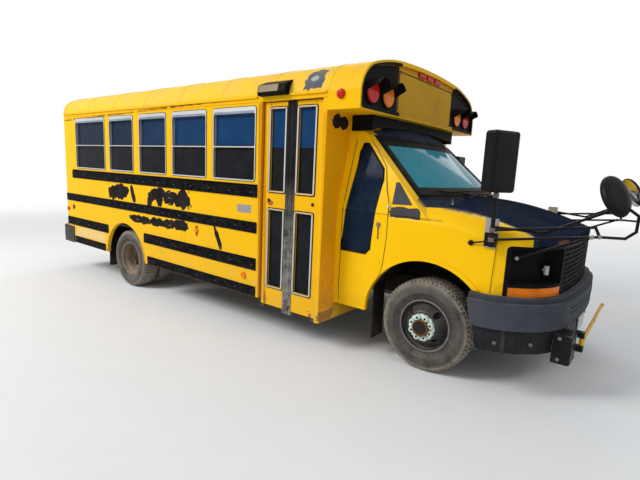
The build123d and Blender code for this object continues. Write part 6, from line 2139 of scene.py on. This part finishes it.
@dataclass
class Interior:
    """What shows through the glass."""

    def seats(self) -> None:
        """Piping of the benches."""
        piping = Shape()
        top, front = FLOOR_Z + 1001, FLOOR_Z + 450
        for x in range(BENCH_X, BENCH_X + BENCH_ROWS * BENCH_PITCH, BENCH_PITCH):
            for side in SIDES:
                if side < 0 and x == BENCH_X + (BENCH_ROWS - 1) * BENCH_PITCH:
                    continue
                y0, y1 = side * BENCH_INNER_Y, side * BENCH_OUTER_Y
                piping.pipe([(x + 7, y0, top), (x + 7, y1, top)], 7, 6)
                piping.pipe([(x + 480, y0, front), (x + 480, y1, front)], 6, 6)
                for y in (y0, y1):
                    line = ((55, FLOOR_Z + 998), (120, FLOOR_Z + 438), (478, front))
                    piping.pipe([(x + dx, y, z) for dx, z in line], 5, 6)
        piping.finish("seat_piping", "seat_vinyl")

    def cabin(self) -> None:
        """Poles, panel, lamps and step edges."""
        poles = Shape()
        poles.pipe([(-1600, -540, FLOOR_Z), (-1600, -540, 2440)], 16, 12)
        poles.pipe([(-1600, -540, 1560), (-1600, -1140, 1560)], 14, 10)
        bend = ((-620, FLOOR_Z), (-620, 1500), (-700, 1600), (-1140, 1600))
        poles.pipe([(-910, y, z) for y, z in bend], 14, 10)
        poles.finish("grab_poles", "trim_silver")
        panel = Shape()
        panel.box(-1608, -1592, -1140, -560, FLOOR_Z + 40, 1520)
        panel.finish("modesty_panel", "headliner")
        lights = Shape()
        for x in (-5000, -3800, -2600, -1500):
            lights.box(x - 140, x + 140, -70, 70, 2436, 2449)
        lights.finish("dome_lights", "white_paint")
        nosings = Shape()
        for edge, z in ((930, 394.3), (745, 552.7), (560, 711)):
            nosings.box(-1575, -900, -edge - 2, -edge + 28, z - 2, z + 3)
        nosings.finish("step_nosings", "white_paint")

    def controls(self) -> None:
        """Instruments and pedals."""
        cluster = Shape()
        cluster.hexahedron(
            ((-560, 280, 1225), (-500, 280, 1262), (-500, 580, 1262), (-560, 580, 1225)),
            ((-548, 290, 1290), (-500, 290, 1310), (-500, 570, 1310), (-548, 570, 1290)),
        )
        cluster.box(-566, -540, -120, 120, 1090, 1220)
        cluster.finish("instrument_cluster", "dash_plastic")
        pedals = Shape()
        for y in (330, 430, 540):
            pedals.pipe([(-430, y, 960), (-470, y, 850), (-520, y, 760)], 8, 8)
            pedals.box(-535, -505, y - 35, y + 35, 735, 790)
        pedals.finish("pedals", "seat_steel")

    def build(self) -> None:
        """Builds seat piping, poles, lamps and controls."""
        for step in (self.seats, self.cabin, self.controls):
            step()


@dataclass
class Underside:
    """Shock absorbers, pipes, straps and bolts below the floor."""

    def build(self) -> None:
        """Builds the underside's small pieces."""
        rods = Shape()
        axle_x, axle_z = REAR_AXLE_X, 271.8
        for side in SIDES:
            rods.pipe([(axle_x + 60, side * 470, axle_z + 10), (axle_x + 300, side * 430, 600)], 22, 12)
            for dx in (-48, 48):
                for y in (500, 580):
                    rods.pipe([(axle_x + dx, side * y, axle_z + dz) for dz in (-62, 108)], 8, 8)
            rods.box(axle_x - 62, axle_x + 62, side * 492, side * 588, axle_z - 72, axle_z - 58)
        rods.finish("axle_fittings", "chassis_black")
        pipes = Shape()
        line = [(300, 392, 470), (-600, 392, 470), (-2000, 392, 480), (-3900, 392, 470), (-4030, 300, 340)]
        pipes.pipe(line, 5, 6)
        pipes.pipe([(300, 380, 485), (-3200, 380, 490)], 6, 6)
        pipes.finish("brake_pipes", "bolt_steel")
        straps = Shape()
        for x in (-3050, -2750, -2450):
            straps.box(x - 20, x + 20, 497, 1083, 346.5, 350)
            straps.box(x - 20, x + 20, 1080, 1083.5, 350, 615)
        straps.finish("tank_straps", "bolt_steel")
        joints = Shape()
        for x, z in ((-760, 437), (-2400, 372), (-3850, 282)):
            joints.lathe(((-40, 46), (-30, 56), (30, 56), (40, 46)), (x, 0, z), (1, 0, 0.05), 16)
        joints.finish("shaft_joints", "chassis_black")


@dataclass
class Studio:
    """Floor, lights, background and camera.

    Args:
        station: Camera place, forward of the front axle, in metres.
        yaw: Heading in radians.
        pitch: Downward angle in radians.
        roll: Roll in radians.
        lens: Focal length in millimetres.
    """

    station: Point = (1.3699, -4.0503, 1.5089)
    yaw: float = 2.23355
    pitch: float = -0.14683
    roll: float = 0.02766
    lens: float = 24.615

    def floor(self) -> None:
        """Builds a plain pale floor."""
        mesh = bpy.data.meshes.new("studio_floor")
        mesh.from_pydata([(-60, -60, 0), (60, -60, 0), (60, 60, 0), (-60, 60, 0)], [], [(0, 1, 2, 3)])
        made, graph, shader = open_material("studio_floor")
        where = graph.coordinates()
        tone = graph.mix(graph.noise(where, 3.0, 5.0, 0.6), (0.78, 0.78, 0.77), (0.83, 0.83, 0.82))
        graph.feed(shader["Base Color"], tone)
        graph.feed(shader["Roughness"], 0.8)
        far = graph.span(graph.vector("LENGTH", where, output="Value"), 5.0, 17.0)
        graph.feed(shader["Alpha"], graph.math("SUBTRACT", 1.0, far))
        mesh.materials.append(made)
        sheet = bpy.data.objects.new("studio_floor", mesh)
        bpy.context.scene.collection.objects.link(sheet)

    def lights(self) -> None:
        """Adds soft lamps."""
        lamps = (
            ("key", (-5.0, -9.0, 9.0), 1150.0, 5.0),
            ("front", (8.0, -4.0, 6.0), 110.0, 7.0),
            ("back", (-2.0, 9.0, 8.0), 420.0, 8.0),
        )
        for name, where, power, size in lamps:
            data = bpy.data.lights.new(name, "AREA")
            data.energy = power
            data.size = size
            lamp = bpy.data.objects.new(name, data)
            lamp.location = where
            aim = Vector((0.0, 0.0, 1.0)) - Vector(where)
            lamp.rotation_euler = aim.to_track_quat("-Z", "Y").to_euler()
            bpy.context.scene.collection.objects.link(lamp)

    def world(self) -> None:
        """White background for the camera, softer light for surfaces."""
        world = bpy.data.worlds.new("studio")
        bpy.context.scene.world = world
        world.use_nodes = True
        graph = Graph(world.node_tree)
        background = world.node_tree.nodes["Background"]
        path = graph.node("LightPath")
        seen = graph.math("MAXIMUM", path.outputs["Is Camera Ray"], path.outputs["Is Transmission Ray"])
        seen = graph.math("MAXIMUM", seen, path.outputs["Is Glossy Ray"])
        graph.feed(background.inputs["Color"], graph.mix(seen, (0.66, 0.7, 0.76), (1.0, 1.0, 1.0)))
        graph.feed(background.inputs["Strength"], graph.math("MULTIPLY_ADD", seen, 0.35, 0.65))

    def camera(self) -> None:
        """Sets the camera to the photo's view."""
        yaw, pitch, roll = self.yaw, self.pitch, self.roll
        ahead = Vector((math.cos(pitch) * math.cos(yaw), math.cos(pitch) * math.sin(yaw), math.sin(pitch)))
        right = Vector((math.sin(yaw), -math.cos(yaw), 0.0))
        up = right.cross(ahead)
        turned_right = math.cos(roll) * right + math.sin(roll) * up
        turned_up = -math.sin(roll) * right + math.cos(roll) * up
        basis = Matrix((turned_right, turned_up, -ahead)).transposed().to_4x4()
        x = self.station[0] - SPACE.origin_x / 1000
        basis.translation = Vector((x, self.station[1], self.station[2]))
        data = bpy.data.cameras.new("photo_view")
        data.lens = self.lens
        data.sensor_width = 36.0
        data.clip_end = 200.0
        view = bpy.data.objects.new("photo_view", data)
        view.matrix_world = basis
        bpy.context.scene.collection.objects.link(view)
        bpy.context.scene.camera = view

    def build(self) -> None:
        """Builds the whole studio."""
        self.floor()
        self.lights()
        self.world()
        self.camera()
        bpy.context.scene.view_settings.view_transform = "Standard"


def dress_solids() -> None:
    """Gives every solid of the frame the finish of its record slot."""
    slots = {entry["node"]: entry["material_slot"] for entry in frame["record"]["subparts"]}
    for name, node in frame["nodes"].items():
        node.data.materials.clear()
        node.data.materials.append(finish_material(slots[name]))
        LOG.info("solid %s: %s", name, slots[name])


def wheel_pieces() -> list[object]:
    """Lists the tyres and wheel trims.

    Returns:
        Objects with a build method.
    """
    pieces: list[object] = []
    for side, word in ((1, "left"), (-1, "right")):
        front_body, rear_body = Body(f"front_wheel_{word}"), Body(f"rear_wheels_{word}")
        front = (0.0, side * FRONT_WHEEL_Y, WHEEL_Z)
        rear, inner = ((-WHEELBASE, side * y, WHEEL_Z) for y in (REAR_OUTER_Y, REAR_INNER_Y))
        pieces.append(Tyre(f"front_{word}_treaded_tyre", (front,), front_body, f"front_tyre_{word}"))
        pieces.append(Tyre(f"rear_{word}_treaded_tyres", (rear, inner), rear_body, f"rear_tyres_{word}"))
        pieces.append(WheelTrim(f"front_{word}", front_body, front, side, False))
        pieces.append(WheelTrim(f"rear_{word}", rear_body, rear, side, True))
    return pieces


def main() -> None:
    """Builds the looks in order."""
    logging.basicConfig(level=logging.INFO, format="%(message)s")
    dress_solids()
    kinds = (
        SideTrim, RoofTrim, Lamps, EntranceTrim, CabTrim, NoseTrim, MirrorTrim, RearTrim, ArmTrim,
        Seats, Interior, Underside,
    )
    for part in (*(kind() for kind in kinds), *wheel_pieces()):
        LOG.info("building %s", type(part).__name__)
        part.build()
    Studio().build()


if __name__ == "__main__":
    main()
